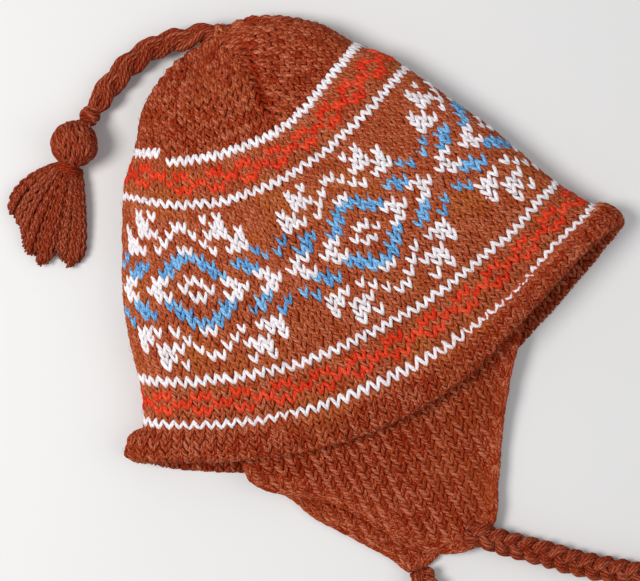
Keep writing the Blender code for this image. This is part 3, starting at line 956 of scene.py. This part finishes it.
def flap_surface(stations, upper):
    """A flap's top or bottom as a surface over row (from its root) and x."""
    middle_down = (stations[:, 1] + stations[:, 3]) / 2 + stations[:, 4]
    rows = (middle_down - middle_down[0]) / ROW_PITCH

    def read(row, x, out):
        table = smooth(rows, stations, np.clip(row, 0, rows[-1]))
        left_x, left_down, right_x, right_down, bow, top = np.moveaxis(table, -1, 0)
        across = np.clip(2 * (x - left_x) / (right_x - left_x) - 1, -1.2, 1.2)
        share = (across + 1) / 2
        down = left_down + share * (right_down - left_down) + bow * (1 - across ** 2)
        down = down + (row - np.clip(row, 0, rows[-1])) * ROW_PITCH
        z = top + out if upper else top - WALL - out
        normal = np.zeros(down.shape + (3,))
        normal[..., 2] = 1.0 if upper else -1.0
        point = np.stack([x + 0 * down, down, z], axis=-1)
        return point, normal

    return read, rows


FLAP_STITCH = 5.6      # width of a flap's stitch in mm
FLAP_SPARE = 6.0       # mm past its sides where stitches are still tried, below its first rows
FLAP_ROOT = 4.0        # mm below its root where no stitch is left out for standing past the outline
# How far inside the flap's outline points of a stitch lie: rows up, mm aside, and that distance.
FLAP_BORDER = ((-0.38, 0, 0.5), (0, 0, 2.3), (1, 0, 2.3), (0.9, -2, 1.3), (0.9, 2, 1.3))
TRACK_POINTS = 600
TRACK_ROUNDING = 60    # how often the outline is smoothed


def flap_track(stations):
    """A flap's outline from its left root round its tip, evenly spaced, and the outward direction."""
    left = np.column_stack([stations[:, 0], stations[:, 1], stations[:, 5] - WALL / 2])
    right = np.column_stack([stations[:, 2], stations[:, 3], stations[:, 5] - WALL / 2])
    outline = np.concatenate([left, right[::-1]])
    at = length_along(outline)
    track = evenly(smooth(at, outline, np.linspace(0, at[-1], TRACK_POINTS)), TRACK_POINTS)
    for _ in range(TRACK_ROUNDING):
        track[1:-1] = (track[:-2] + 2 * track[1:-1] + track[2:]) / 4
    heading = np.gradient(track, axis=0)
    outside = unit(np.cross(heading, UP))
    if np.mean(np.sum(outside * (track - outline.mean(axis=0)), axis=1)) < 0:
        outside = -outside
    return track, outside


def distance_inside(spots, track):
    """How far inside a flap's outline each spot lies, in plan."""
    gaps = spots[:, None, :2] - track[None, :, :2]
    away = np.linalg.norm(gaps, axis=2)
    nearest = away.argmin(axis=1)
    ring = track[:, :2]
    after = np.roll(ring, -1, axis=0)
    x, y = spots[:, 0, None], spots[:, 1, None]
    crosses = (ring[:, 1] > y) != (after[:, 1] > y)
    at = ring[:, 0] + (y - ring[:, 1]) * (after[:, 0] - ring[:, 0]) / (after[:, 1] - ring[:, 1] + 1e-12)
    within = (crosses & (x < at)).sum(axis=1) % 2 == 1
    return np.where(within, 1, -1) * away[np.arange(len(spots)), nearest]


FLAP_GROOVE = (6.6, 2.3, 0.9)   # mm inside the outline, half its width, and its depth


def knit_flap(name, stations):
    """Stitches over both faces of a flap, and a chain along its edges."""
    tubes = Tubes()
    outline, _ = flap_track(stations)
    groove_at, groove_wide, groove_deep = FLAP_GROOVE
    for upper in (True, False):
        read, rows = flap_surface(stations, upper)
        table = []
        for row in np.arange(0, rows[-1] + 1, 1.0):
            left_x, _, right_x = smooth(rows, stations, np.array(min(row, rows[-1])))[:3]
            spare = FLAP_SPARE if row > 4 else 0.0
            first = np.ceil((left_x - spare) / FLAP_STITCH)
            for column in np.arange(first, np.floor((right_x + spare) / FLAP_STITCH) + 1):
                table.append((row, column * FLAP_STITCH, FLAP_STITCH, 0.0))
        table = np.array(table)
        for up, aside, border in FLAP_BORDER:
            spot, _ = read(table[:, 0] + STITCH_BASE - up, table[:, 1] + aside, np.zeros(len(table)))
            inside = distance_inside(spot, outline)
            table = table[(inside > border) | (spot[:, 1] < outline[0, 1] + FLAP_ROOT)]

        def grooved(row, x, out, read=read):
            spot, _ = read(row, x, out)
            inside = distance_inside(spot.reshape(-1, 3), outline).reshape(row.shape)
            return read(row, x, out - groove_deep * near_to(inside, groove_at, groove_wide))

        # the flaps' stitches take stronger painted shade on one leg of each V
        stitches(tubes, grooved, *table.T, coarse=not upper, size=1.09, side_painted_shade=-0.20)
    edge_chain(tubes, stations)
    return tubes.build(name, BROWN)


CHAIN_PITCH = 4.4      # length of one stitch of the edge chain
CHAIN_REACH = 2.0      # radius of the flap's rounded edge
CHAIN_WIDE = 1.7       # width of its stitches, as an angle round that edge
CHAIN_LINES = ((-1.3, False), (0.15, False), (1.5, False), (2.9, True))    # angle, and if coarse


def edge_chain(tubes, stations):
    """A chain of larger stitches along each edge of a flap, over the top and round the side."""
    track, outside = flap_track(stations)
    count = int(length_along(track)[-1] / CHAIN_PITCH)

    def read(row, angle, out):
        """row counts along the edge; the angle runs from the top of the slab round its side."""
        place = np.clip(row / count, 0, 1) * (len(track) - 1)
        low = np.minimum(place.astype(int), len(track) - 2)
        mix = (place - low)[..., None]
        spot = track[low] * (1 - mix) + track[low + 1] * mix
        away = unit(outside[low] * (1 - mix) + outside[low + 1] * mix)
        normal = away * np.sin(angle)[..., None]
        normal[..., 2] = normal[..., 2] + np.cos(angle)
        point = spot - away * CHAIN_REACH + normal * (CHAIN_REACH + out)[..., None]
        inside = np.clip(-np.asarray(angle), 0, None)
        return point - away * (inside * CHAIN_REACH)[..., None], normal

    rows = np.arange(0, count).astype(float)
    for angle, coarse in CHAIN_LINES:
        stitches(tubes, read, rows, np.full(count, angle), np.full(count, CHAIN_WIDE), np.zeros(count),
                 coarse=coarse, size=1.14)


near_flap = knit_flap("near_flap_stitches", FLAP_NEAR)
far_flap = knit_flap("far_flap_stitches", FLAP_FAR)


# Backing: the dark wall between the stitches

def shell_material():
    """Plain dark wool with purl bumps."""
    wool = Shading("wool_backing", 0.95)
    purl = wool.nodes.new("ShaderNodeTexVoronoi")
    purl.inputs["Scale"].default_value = 300.0
    wool.links.new(wool.place, purl.inputs["Vector"])
    grain = wool.calc("SUBTRACT", wool.calc("MULTIPLY", wool.noise(wool.place, 900.0, 3.0, 0.6), 1.3),
                      wool.calc("MULTIPLY", purl.outputs["Distance"], 0.35))
    colour = wool.mix(grain, srgb(138, 37, 5), srgb(188, 82, 38))
    wool.links.new(colour, wool.shader.inputs["Base Color"])
    wool.bump(grain, 0.7, 0.0009)
    return wool.material


BACKING = shell_material()
WALL_COLUMNS = 150      # points around the backing of the dome
WALL_OUTSIDE = -1.6     # mm out of the surface where its outside lies, and deeper in the creases
CREASE_CLEARANCE = 1.6
INNER_ROWS = (2.0, 50.6)        # where its inside begins and ends
PURL_ROW = 0.5          # rows from a groove of the inside to the next ridge
PURL_OUT = (-3.5, -4.2)         # mm out of the surface where a groove and a ridge lie
PURL_BUMP = 0.25
WALL_LOWEST = 1.0
FLAP_POINTS = 20        # points across a flap's backing
FLAP_COVER = (1.4, 1.5)         # mm of stitches over it and under it
BACKING_INSET = 1.6     # how far inside a flap's edge its backing ends


def grid_mesh(name, grid):
    """A backing piece over a grid that closes around each row, filled at its two ends."""
    rows, around = grid.shape[:2]
    index = np.arange(rows * around).reshape(rows, around)
    turned = np.roll(index, -1, axis=1)
    faces = np.stack([index[:-1], turned[:-1], turned[1:], index[1:]], axis=-1).reshape(-1, 4).tolist()
    faces.append(index[0][::-1].tolist())
    faces.append(index[-1].tolist())
    data = bpy.data.meshes.new(name)
    data.from_pydata(world(grid).reshape(-1, 3).tolist(), [], faces)
    data.update()
    return add_piece(name, data, BACKING)


def backing_shell():
    """The wall behind the stitches, with rows of purl bumps on the hat's inside."""
    rows = np.arange(0.75, LAST_ROW - 0.2, 1.0)
    turns = np.arange(WALL_COLUMNS) / WALL_COLUMNS
    row_grid, turn_grid = np.meshgrid(rows, turns, indexing="ij")
    depth = CREASE_CLEARANCE * crease_depth(row_grid, turn_grid)
    outer, _ = on_hat(row_grid, turn_grid, WALL_OUTSIDE - depth)
    inner_rows = np.arange(*INNER_ROWS, PURL_ROW)
    row_grid, turn_grid = np.meshgrid(inner_rows, turns, indexing="ij")
    ridge = np.where(np.arange(len(inner_rows)) % 2 == 0, *PURL_OUT)[:, None]
    bump = PURL_BUMP * np.where(np.arange(len(turns)) % 2 == 0, 1.0, -1.0)[None, :]
    inner, _ = on_hat(row_grid, turn_grid, ridge + bump)
    grid = np.concatenate([outer, inner[::-1]])
    grid[..., 2] = np.clip(grid[..., 2], WALL_LOWEST, None)
    return grid_mesh("wall_backing", grid)


backing = backing_shell()


def flap_backing(name, stations):
    """A thin dark slab inside a flap."""
    rings = []
    across = np.linspace(-1, 1, FLAP_POINTS)
    over, under = FLAP_COVER
    for left_x, left_down, right_x, right_down, bow, top in stations:
        share = (across + 1) / 2
        x = (left_x + BACKING_INSET) + share * (right_x - left_x - 2 * BACKING_INSET)
        down = left_down + share * (right_down - left_down) + bow * (1 - across ** 2)
        upper = np.column_stack([x, down, np.full(FLAP_POINTS, top - over)])
        lower = np.column_stack([x, down, np.full(FLAP_POINTS, top - WALL + under)])
        rings.append(np.concatenate([upper, lower[::-1]]))
    rings = np.array(rings)
    rings[-1, :, 1] -= 1.5
    return grid_mesh(name, rings)


near_backing = flap_backing("near_flap_backing", FLAP_NEAR)
far_backing = flap_backing("far_flap_backing", FLAP_FAR)


# Cords and tassel

ROUTE_POINTS = 400      # points that a route's curve is read at before it is spaced evenly


def route_curve(route, spacing):
    """Evenly spaced points along a smooth curve through a route."""
    route = np.asarray(route, float)
    at = length_along(route)
    line = smooth(at, route, np.linspace(0, at[-1], ROUTE_POINTS))
    length = length_along(line)[-1]
    return evenly(line, int(round(length / spacing)) + 1), length


# What a braid is made of, in mm: how far its strands swing aside and up, the length of one swing,
# the radius of a yarn, and the radius at which a strand's yarns lie round its middle.
TIE_BRAID = {"swing": 3.3, "rise": 1.9, "pitch": 22.5, "yarn_radius": 0.98, "strand_radius": 2.2}
CROWN_BRAID = {"swing": 2.7, "rise": 1.7, "pitch": 40.0, "yarn_radius": 0.92, "strand_radius": 2.45}
STRAND_YARNS = 8
STRAND_TWIST = 0.10     # how fast a strand's yarns wind round its middle, in radians a mm
STRAND_LOOSE = 0.10     # how unevenly they lie round it, as a share
STRAND_LEAST = 0.55     # a strand narrows no further than this share at a braid's end
END_REACH = 9.0         # length over which a braid narrows at its end


def braid(name, route, swing, rise, pitch, yarn_radius, strand_radius,
          start_spread, end_spread, start_reach=END_REACH, blunt=0.01):
    """A three-strand plait. Each strand is a bundle of yarns, and blunt keeps it at the edge longer."""
    path, length = route_curve(route, 1.0)
    heading = unit(np.gradient(path, axis=0))
    side = unit(np.cross(UP, heading))
    lift = np.cross(heading, side)
    s = np.linspace(0, length, len(path))
    ends = np.minimum(start_spread + s / start_reach, end_spread + (length - s) / END_REACH)
    ends = np.minimum(ends, 1.0)
    tubes = Tubes()
    for strand in range(3):
        phase = 2 * np.pi * (s / pitch + strand / 3)
        sway = np.tanh(blunt * np.sin(phase)) / np.tanh(blunt)
        centre = (path + side * (swing * ends * sway)[:, None]
                  + lift * (rise * ends * np.sin(2 * phase))[:, None])
        for yarn in range(STRAND_YARNS):
            spin = 2 * np.pi * yarn / STRAND_YARNS + STRAND_TWIST * s + strand * 1.3
            wobble = 1 + STRAND_LOOSE * np.sin(s * 0.7 + yarn * 2.1 + strand)
            offset = (side * (np.cos(spin) * wobble)[:, None] + lift * (np.sin(spin) * wobble)[:, None])
            line = centre + offset * (strand_radius * np.maximum(ends, STRAND_LEAST))[:, None]
            radius = yarn_radius * (1 + 0.05 * np.sin(s * 1.3 + yarn + strand * 2))
            tubes.add_yarn(line, lift, radius, 7, rng.random())
    return tubes.build(name, CORD_BROWN), path, length


# a knot's core is dark with painted shade
CORE_SHARE = 0.92       # how much of a knot's radius its dark core fills
KNOT_SPREAD = 0.72      # how far toward a knot's two ends its loops lie, as a share
KNOT_STEP = 2.4         # how far each loop leans round from the one before, in radians


def add_core(tubes, centre, heading, radius):
    """A round core inside wound yarns, so that nothing shows through between them, coloured almost wholly
    with painted shade.
    """
    polar = np.linspace(0.12, np.pi - 0.12, 9)
    line = centre - np.cos(polar)[:, None] * heading * radius * CORE_SHARE
    tubes.add_yarn(line, UP, np.sin(polar) * radius * CORE_SHARE, 12, 0.3, 0.85)


def wound_knot(name, centre, radius, heading, loops, yarn_radius, material, tilt=0.5):
    """A knot as yarn wound round itself."""
    centre = np.asarray(centre, float)
    heading = unit(np.asarray(heading, float))
    side = unit(np.cross(UP, heading))
    lift = np.cross(heading, side)
    tubes = Tubes()
    angle = np.linspace(0, 2 * np.pi, 26)
    inner = radius - yarn_radius
    for loop in range(loops):
        share = (loop + 0.5) / loops * 2 - 1
        lean = loop * KNOT_STEP
        axis = unit(heading + side * tilt * np.sin(lean) + lift * tilt * np.cos(lean))
        one = unit(np.cross(axis, lift + 0.01 * side))
        two = np.cross(axis, one)
        shift = axis * share * inner * KNOT_SPREAD
        ring = inner * np.sqrt(max(1 - (share * KNOT_SPREAD) ** 2, 0.1))
        line = centre + shift + ring * (np.cos(angle)[:, None] * one + np.sin(angle)[:, None] * two)
        tubes.add_yarn(line, unit(line - centre), yarn_radius, 7, rng.random())
    add_core(tubes, centre, heading, inner)
    return tubes.build(name, material)


def tie(name, route):
    """One braided tie with its end knot."""
    item, path, length = braid(name + "_braid", route, **TIE_BRAID, start_spread=0.8, end_spread=0.85,
                               blunt=1.2)
    end = np.array(route[-1])
    heading = unit(end - np.array(route[-2]))
    centre = end + heading * (TIE_KNOT_RADIUS - 1.2)
    centre[2] = TIE_KNOT_RADIUS + GAP
    knot = wound_knot(name + "_knot_yarn", centre, TIE_KNOT_RADIUS, heading, 9, 1.25, CORD_BROWN)
    world(path[0])
    world(path[::3])
    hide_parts(name)
    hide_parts(name + "_knot")


tie("tie_near", TIE_NEAR_ROUTE)
tie("tie_far", TIE_FAR_ROUTE)

TASSEL_CENTRE = np.array(TASSEL_HEAD)
TASSEL_AXIS = unit(np.array((*SKIRT_AXIS, 0.0)))
TASSEL_SIDE = np.array((TASSEL_AXIS[1], -TASSEL_AXIS[0], 0.0))
HEAD_YARNS = 190
HEAD_LEAN = 0.25        # how far they lean aside from the tassel's axis
HEAD_REACH = (0.34, 0.52)       # half the angle that one spans on the ball, from least to most
HEAD_TUCK = 1.9         # how deep its ends are tucked in, in mm
HANGER_YARNS = 5        # yarns from the cord's knot into the ball


def tassel_head():
    """The ball: short lengths of yarn lying mostly along the tassel's axis, each end tucked under."""
    tubes = Tubes()
    rings = 9
    place = np.arange(HEAD_YARNS) + 0.5
    height = 1 - 2 * place / HEAD_YARNS
    around = place * np.pi * (3 - np.sqrt(5))
    along = np.linspace(-1, 1, rings)
    for spot in range(HEAD_YARNS):
        level = np.sqrt(1 - height[spot] ** 2)
        out = (height[spot] * TASSEL_AXIS * -1 + level * np.cos(around[spot]) * TASSEL_SIDE
               + level * np.sin(around[spot]) * UP)
        out = unit(out + rng.normal(0, 0.05, 3))
        heading = TASSEL_AXIS - out * (TASSEL_AXIS @ out)
        heading = heading + HEAD_LEAN * TASSEL_SIDE - out * (HEAD_LEAN * TASSEL_SIDE @ out)
        heading = unit(heading + rng.normal(0, 0.22, 3))
        heading = unit(heading - out * (heading @ out))
        swing = along * rng.uniform(*HEAD_REACH)
        radius = TASSEL_HEAD_RADIUS - 0.9 + rng.normal(0, 0.28) - HEAD_TUCK * np.abs(along) ** 3
        line = TASSEL_CENTRE + radius[:, None] * (np.cos(swing)[:, None] * out
                                                  + np.sin(swing)[:, None] * heading)
        # painted shade toward the tucked ends of each yarn
        cavity_shade = 0.75 * np.abs(along) ** 4 + rng.uniform(0, 0.15)
        tubes.add_yarn(line, unit(line - TASSEL_CENTRE), 1.0, 6, rng.random(), np.clip(cavity_shade, 0, 1))
    add_core(tubes, TASSEL_CENTRE, TASSEL_AXIS, TASSEL_HEAD_RADIUS - 1.0)
    hang = np.array(CORD_KNOT)
    t = np.linspace(0, 1, 8)[:, None]
    for strand in range(HANGER_YARNS):
        spread = (strand - (HANGER_YARNS - 1) / 2) * 1.2
        foot = TASSEL_CENTRE + (hang - TASSEL_CENTRE) * 0.62 + TASSEL_SIDE * spread * 1.5
        foot[2] = TASSEL_CENTRE[2] + 4.0 - 0.4 * abs(spread) ** 1.5
        top = hang + (TASSEL_CENTRE - hang) * 0.22 + TASSEL_SIDE * spread * 0.6
        line = top + (foot - top) * t
        line[:, 2] = line[:, 2] + 2.2 * np.sin(np.pi * t[:, 0])
        tubes.add_yarn(line, UP, 1.05, 6, rng.random(), 0.15)
    return tubes.build("tassel_head_yarn", CORD_BROWN)


NECK_HIGH = 6.6
NECK_TURNS = 3
NECK_PITCH = 1.5        # mm along the tassel's axis a turn
NECK_RADII = (3, 5, 5, 3)       # the wrap's radius at its two ends, tucked in, and between them


def neck_wrap():
    """Turns of yarn tied round the tassel's neck."""
    neck = TASSEL_CENTRE + TASSEL_AXIS * (TASSEL_HEAD_RADIUS - 0.6)
    neck[2] = NECK_HIGH
    tubes = Tubes()
    turns = np.linspace(0, NECK_TURNS * 2 * np.pi, 70)
    tucked = np.interp(turns, (0, 1.2, turns[-1] - 1.2, turns[-1]), NECK_RADII)
    line = (neck + TASSEL_AXIS * (turns / (2 * np.pi) * NECK_PITCH)[:, None]
            + tucked[:, None] * (np.cos(turns)[:, None] * TASSEL_SIDE + np.sin(turns)[:, None] * UP))
    # painted shade over the whole wrap
    tubes.add_yarn(line, unit(line - neck), 1.0, 7, 0.2, 0.45)
    return tubes.build("tassel_neck_yarn", CORD_BROWN)


# Where the skirt's yarns end, from its left side to its right: share across, along, sideways.
SKIRT_ENDS = np.array((
    (0, 24, -23.2), (0.07, 29, -22.4), (0.15, 32, -18), (0.26, 38.5, -13.5), (0.38, 44.5, -7.5),
    (0.52, 47.5, 0.5), (0.64, 43.5, 6.6), (0.8, 45.5, 14), (1, 41.5, 19.8),
))
TUFT_LENGTH = (1.02, 1.00, 0.97, 1.04, 1.00, 1.05, 0.95, 1.00, 1.03, 1.00)
SKIRT_YARNS = 340
SKIRT_SEED = 12
SKIRT_YARN_RADIUS = 0.84
SKIRT_ROOT = 9.5        # how wide the yarns leave the neck
SKIRT_CRIMP = (0.55, 0.50)      # how far a yarn waves aside and up, in mm
GOLDEN_SHARE = 0.618034         # spreads any number of yarns evenly


def tassel_skirt():
    """The cut yarn ends, fanned out on the floor in ragged tufts."""
    neck = TASSEL_CENTRE + TASSEL_AXIS * (TASSEL_HEAD_RADIUS - 0.5)
    skirt_rng = np.random.default_rng(SKIRT_SEED)
    tubes = Tubes()
    rings = 25
    t = np.linspace(0, 1, rings)
    taper = np.interp(np.arange(rings), (0, 2, rings - 2, rings - 1), (0.8, 1.0, 0.9, 0.55))
    for strand in range(SKIRT_YARNS):
        share = strand * GOLDEN_SHARE % 1.0
        tuft = int(share * len(TUFT_LENGTH))
        share = np.clip(share + skirt_rng.normal(0, 0.022), 0, 1)
        end_along, end_side = (np.interp(share, SKIRT_ENDS[:, 0], SKIRT_ENDS[:, way]) for way in (1, 2))
        reach = TUFT_LENGTH[tuft] * skirt_rng.uniform(0.93, 1.01)
        start = (share - 0.5) * SKIRT_ROOT + skirt_rng.normal(0, 0.6)
        along = end_along * reach * t
        bulge = np.interp(share, (0.0, 0.35, 1.0), (2.0, 1.6, 1.35))
        lateral = start + (end_side * 0.96 - start) * (1 - (1 - t) ** bulge)
        layer = skirt_rng.uniform(0.0, 1.0)
        thick = straight(SKIRT_THICK, along)
        dome = np.sqrt(np.clip(1 - (2 * share - 1) ** 2 * 0.7, 0.1, 1))
        z = 1.2 + layer * (thick - 2.6) * dome
        phase = skirt_rng.uniform(0, 2 * np.pi, 2)
        arc = t * np.hypot(end_along, end_side)
        crimp = skirt_rng.uniform(0.9, 1.3)
        free = np.clip(arc / 4, 0, 1)
        lateral = lateral + SKIRT_CRIMP[0] * np.sin(arc * crimp + phase[0]) * free
        z = z + SKIRT_CRIMP[1] * np.sin(arc * crimp * 1.1 + phase[1]) * free
        line = neck + TASSEL_AXIS * along[:, None] + TASSEL_SIDE * lateral[:, None]
        line[:, 2] = np.maximum(z, 0.9)
        # painted shade: darker for yarns low in the pile, under the others, and near the neck
        dark = 0.3 * (1 - layer) * np.clip(1.3 - t, 0, 1) + np.clip(0.5 - arc / 9, 0, 0.5)
        tubes.add_yarn(line, UP, SKIRT_YARN_RADIUS * taper, 5, skirt_rng.random(), np.clip(dark, 0, 1))
    return tubes.build("tassel_skirt_yarn", CORD_BROWN)


CROWN_TIP = (3.2, 3.8, 11.6)
CROWN_TIP_HEADING = (-1.0, -0.2, 0.2)


def crown_cord():
    """The braid from the crown's tip with its knot and tassel, and the wound yarn at the tip."""
    item, path, length = braid("crown_braid", CROWN_ROUTE, **CROWN_BRAID, start_spread=0.62,
                               end_spread=0.35, start_reach=60.0)
    knot_heading = np.array(TASSEL_HEAD) - np.array(CORD_KNOT)
    knot = wound_knot("crown_cord_knot_yarn", CORD_KNOT, CORD_KNOT_RADIUS, knot_heading, 5, 1.1,
                      CORD_BROWN, tilt=0.35)
    tip = wound_knot("crown_tip_yarn", CROWN_TIP, 5.2, CROWN_TIP_HEADING, 8, 1.05, BROWN)
    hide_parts("hat_body")
    head = tassel_head()
    neck = neck_wrap()
    skirt = tassel_skirt()
    world(path[0])
    world(path[::3])
    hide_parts("crown_cord")
    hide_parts("crown_cord_knot")
    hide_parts("tassel_head")
    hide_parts("tassel_head")
    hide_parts("tassel_skirt")


crown_cord()

for piece in (*hat_pieces, backing):
    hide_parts("hat_body", "rim_hem")
for piece in (near_flap, near_backing):
    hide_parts("ear_flap_near")
for piece in (far_flap, far_backing):
    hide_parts("ear_flap_far")


# Floor, light and camera

def floor_material():
    material = bpy.data.materials.new("floor")
    material.use_nodes = True
    shader = material.node_tree.nodes["Principled BSDF"]
    shader.inputs["Base Color"].default_value = srgb(214, 212, 209)
    shader.inputs["Roughness"].default_value = 0.9
    return material


bpy.ops.mesh.primitive_plane_add(size=6.0, location=(0, 0, 0))
floor = bpy.context.object
floor.name = "floor"
floor.data.materials.append(floor_material())


def area_light(name, place, size, power):
    """A round soft light that faces the hat's middle."""
    data = bpy.data.lights.new(name, "AREA")
    data.shape = "DISK"
    data.size = size
    data.energy = power
    item = bpy.data.objects.new(name, data)
    item.location = place
    item.rotation_euler = (-Vector(place)).to_track_quat("-Z", "Y").to_euler()
    bpy.context.scene.collection.objects.link(item)


bpy.context.scene.view_settings.view_transform = "Standard"
area_light("key", (-0.62, 0.30, 0.95), 0.5, 11.5)
area_light("fill", (0.8, -0.5, 1.1), 1.2, 4.5)

background = bpy.data.worlds.new("soft")
background.use_nodes = True
background.node_tree.nodes["Background"].inputs["Color"].default_value = (0.9, 0.93, 1.0, 1.0)
background.node_tree.nodes["Background"].inputs["Strength"].default_value = 0.48
bpy.context.scene.world = background

# The photo looks straight down, with the hat turned in its frame.
IMAGE_TURN = np.radians(-26.41)
CAMERA_PLACE = (-0.0145, 0.0054, 0.7699)
camera_data = bpy.data.cameras.new("camera")
camera_data.lens = 90.0
camera_data.sensor_width = 36.0
camera_data.clip_end = 10.0
camera = bpy.data.objects.new("camera", camera_data)
camera.location = CAMERA_PLACE
camera.rotation_euler = (0.0, 0.0, float(IMAGE_TURN))
bpy.context.scene.collection.objects.link(camera)
bpy.context.scene.camera = camera
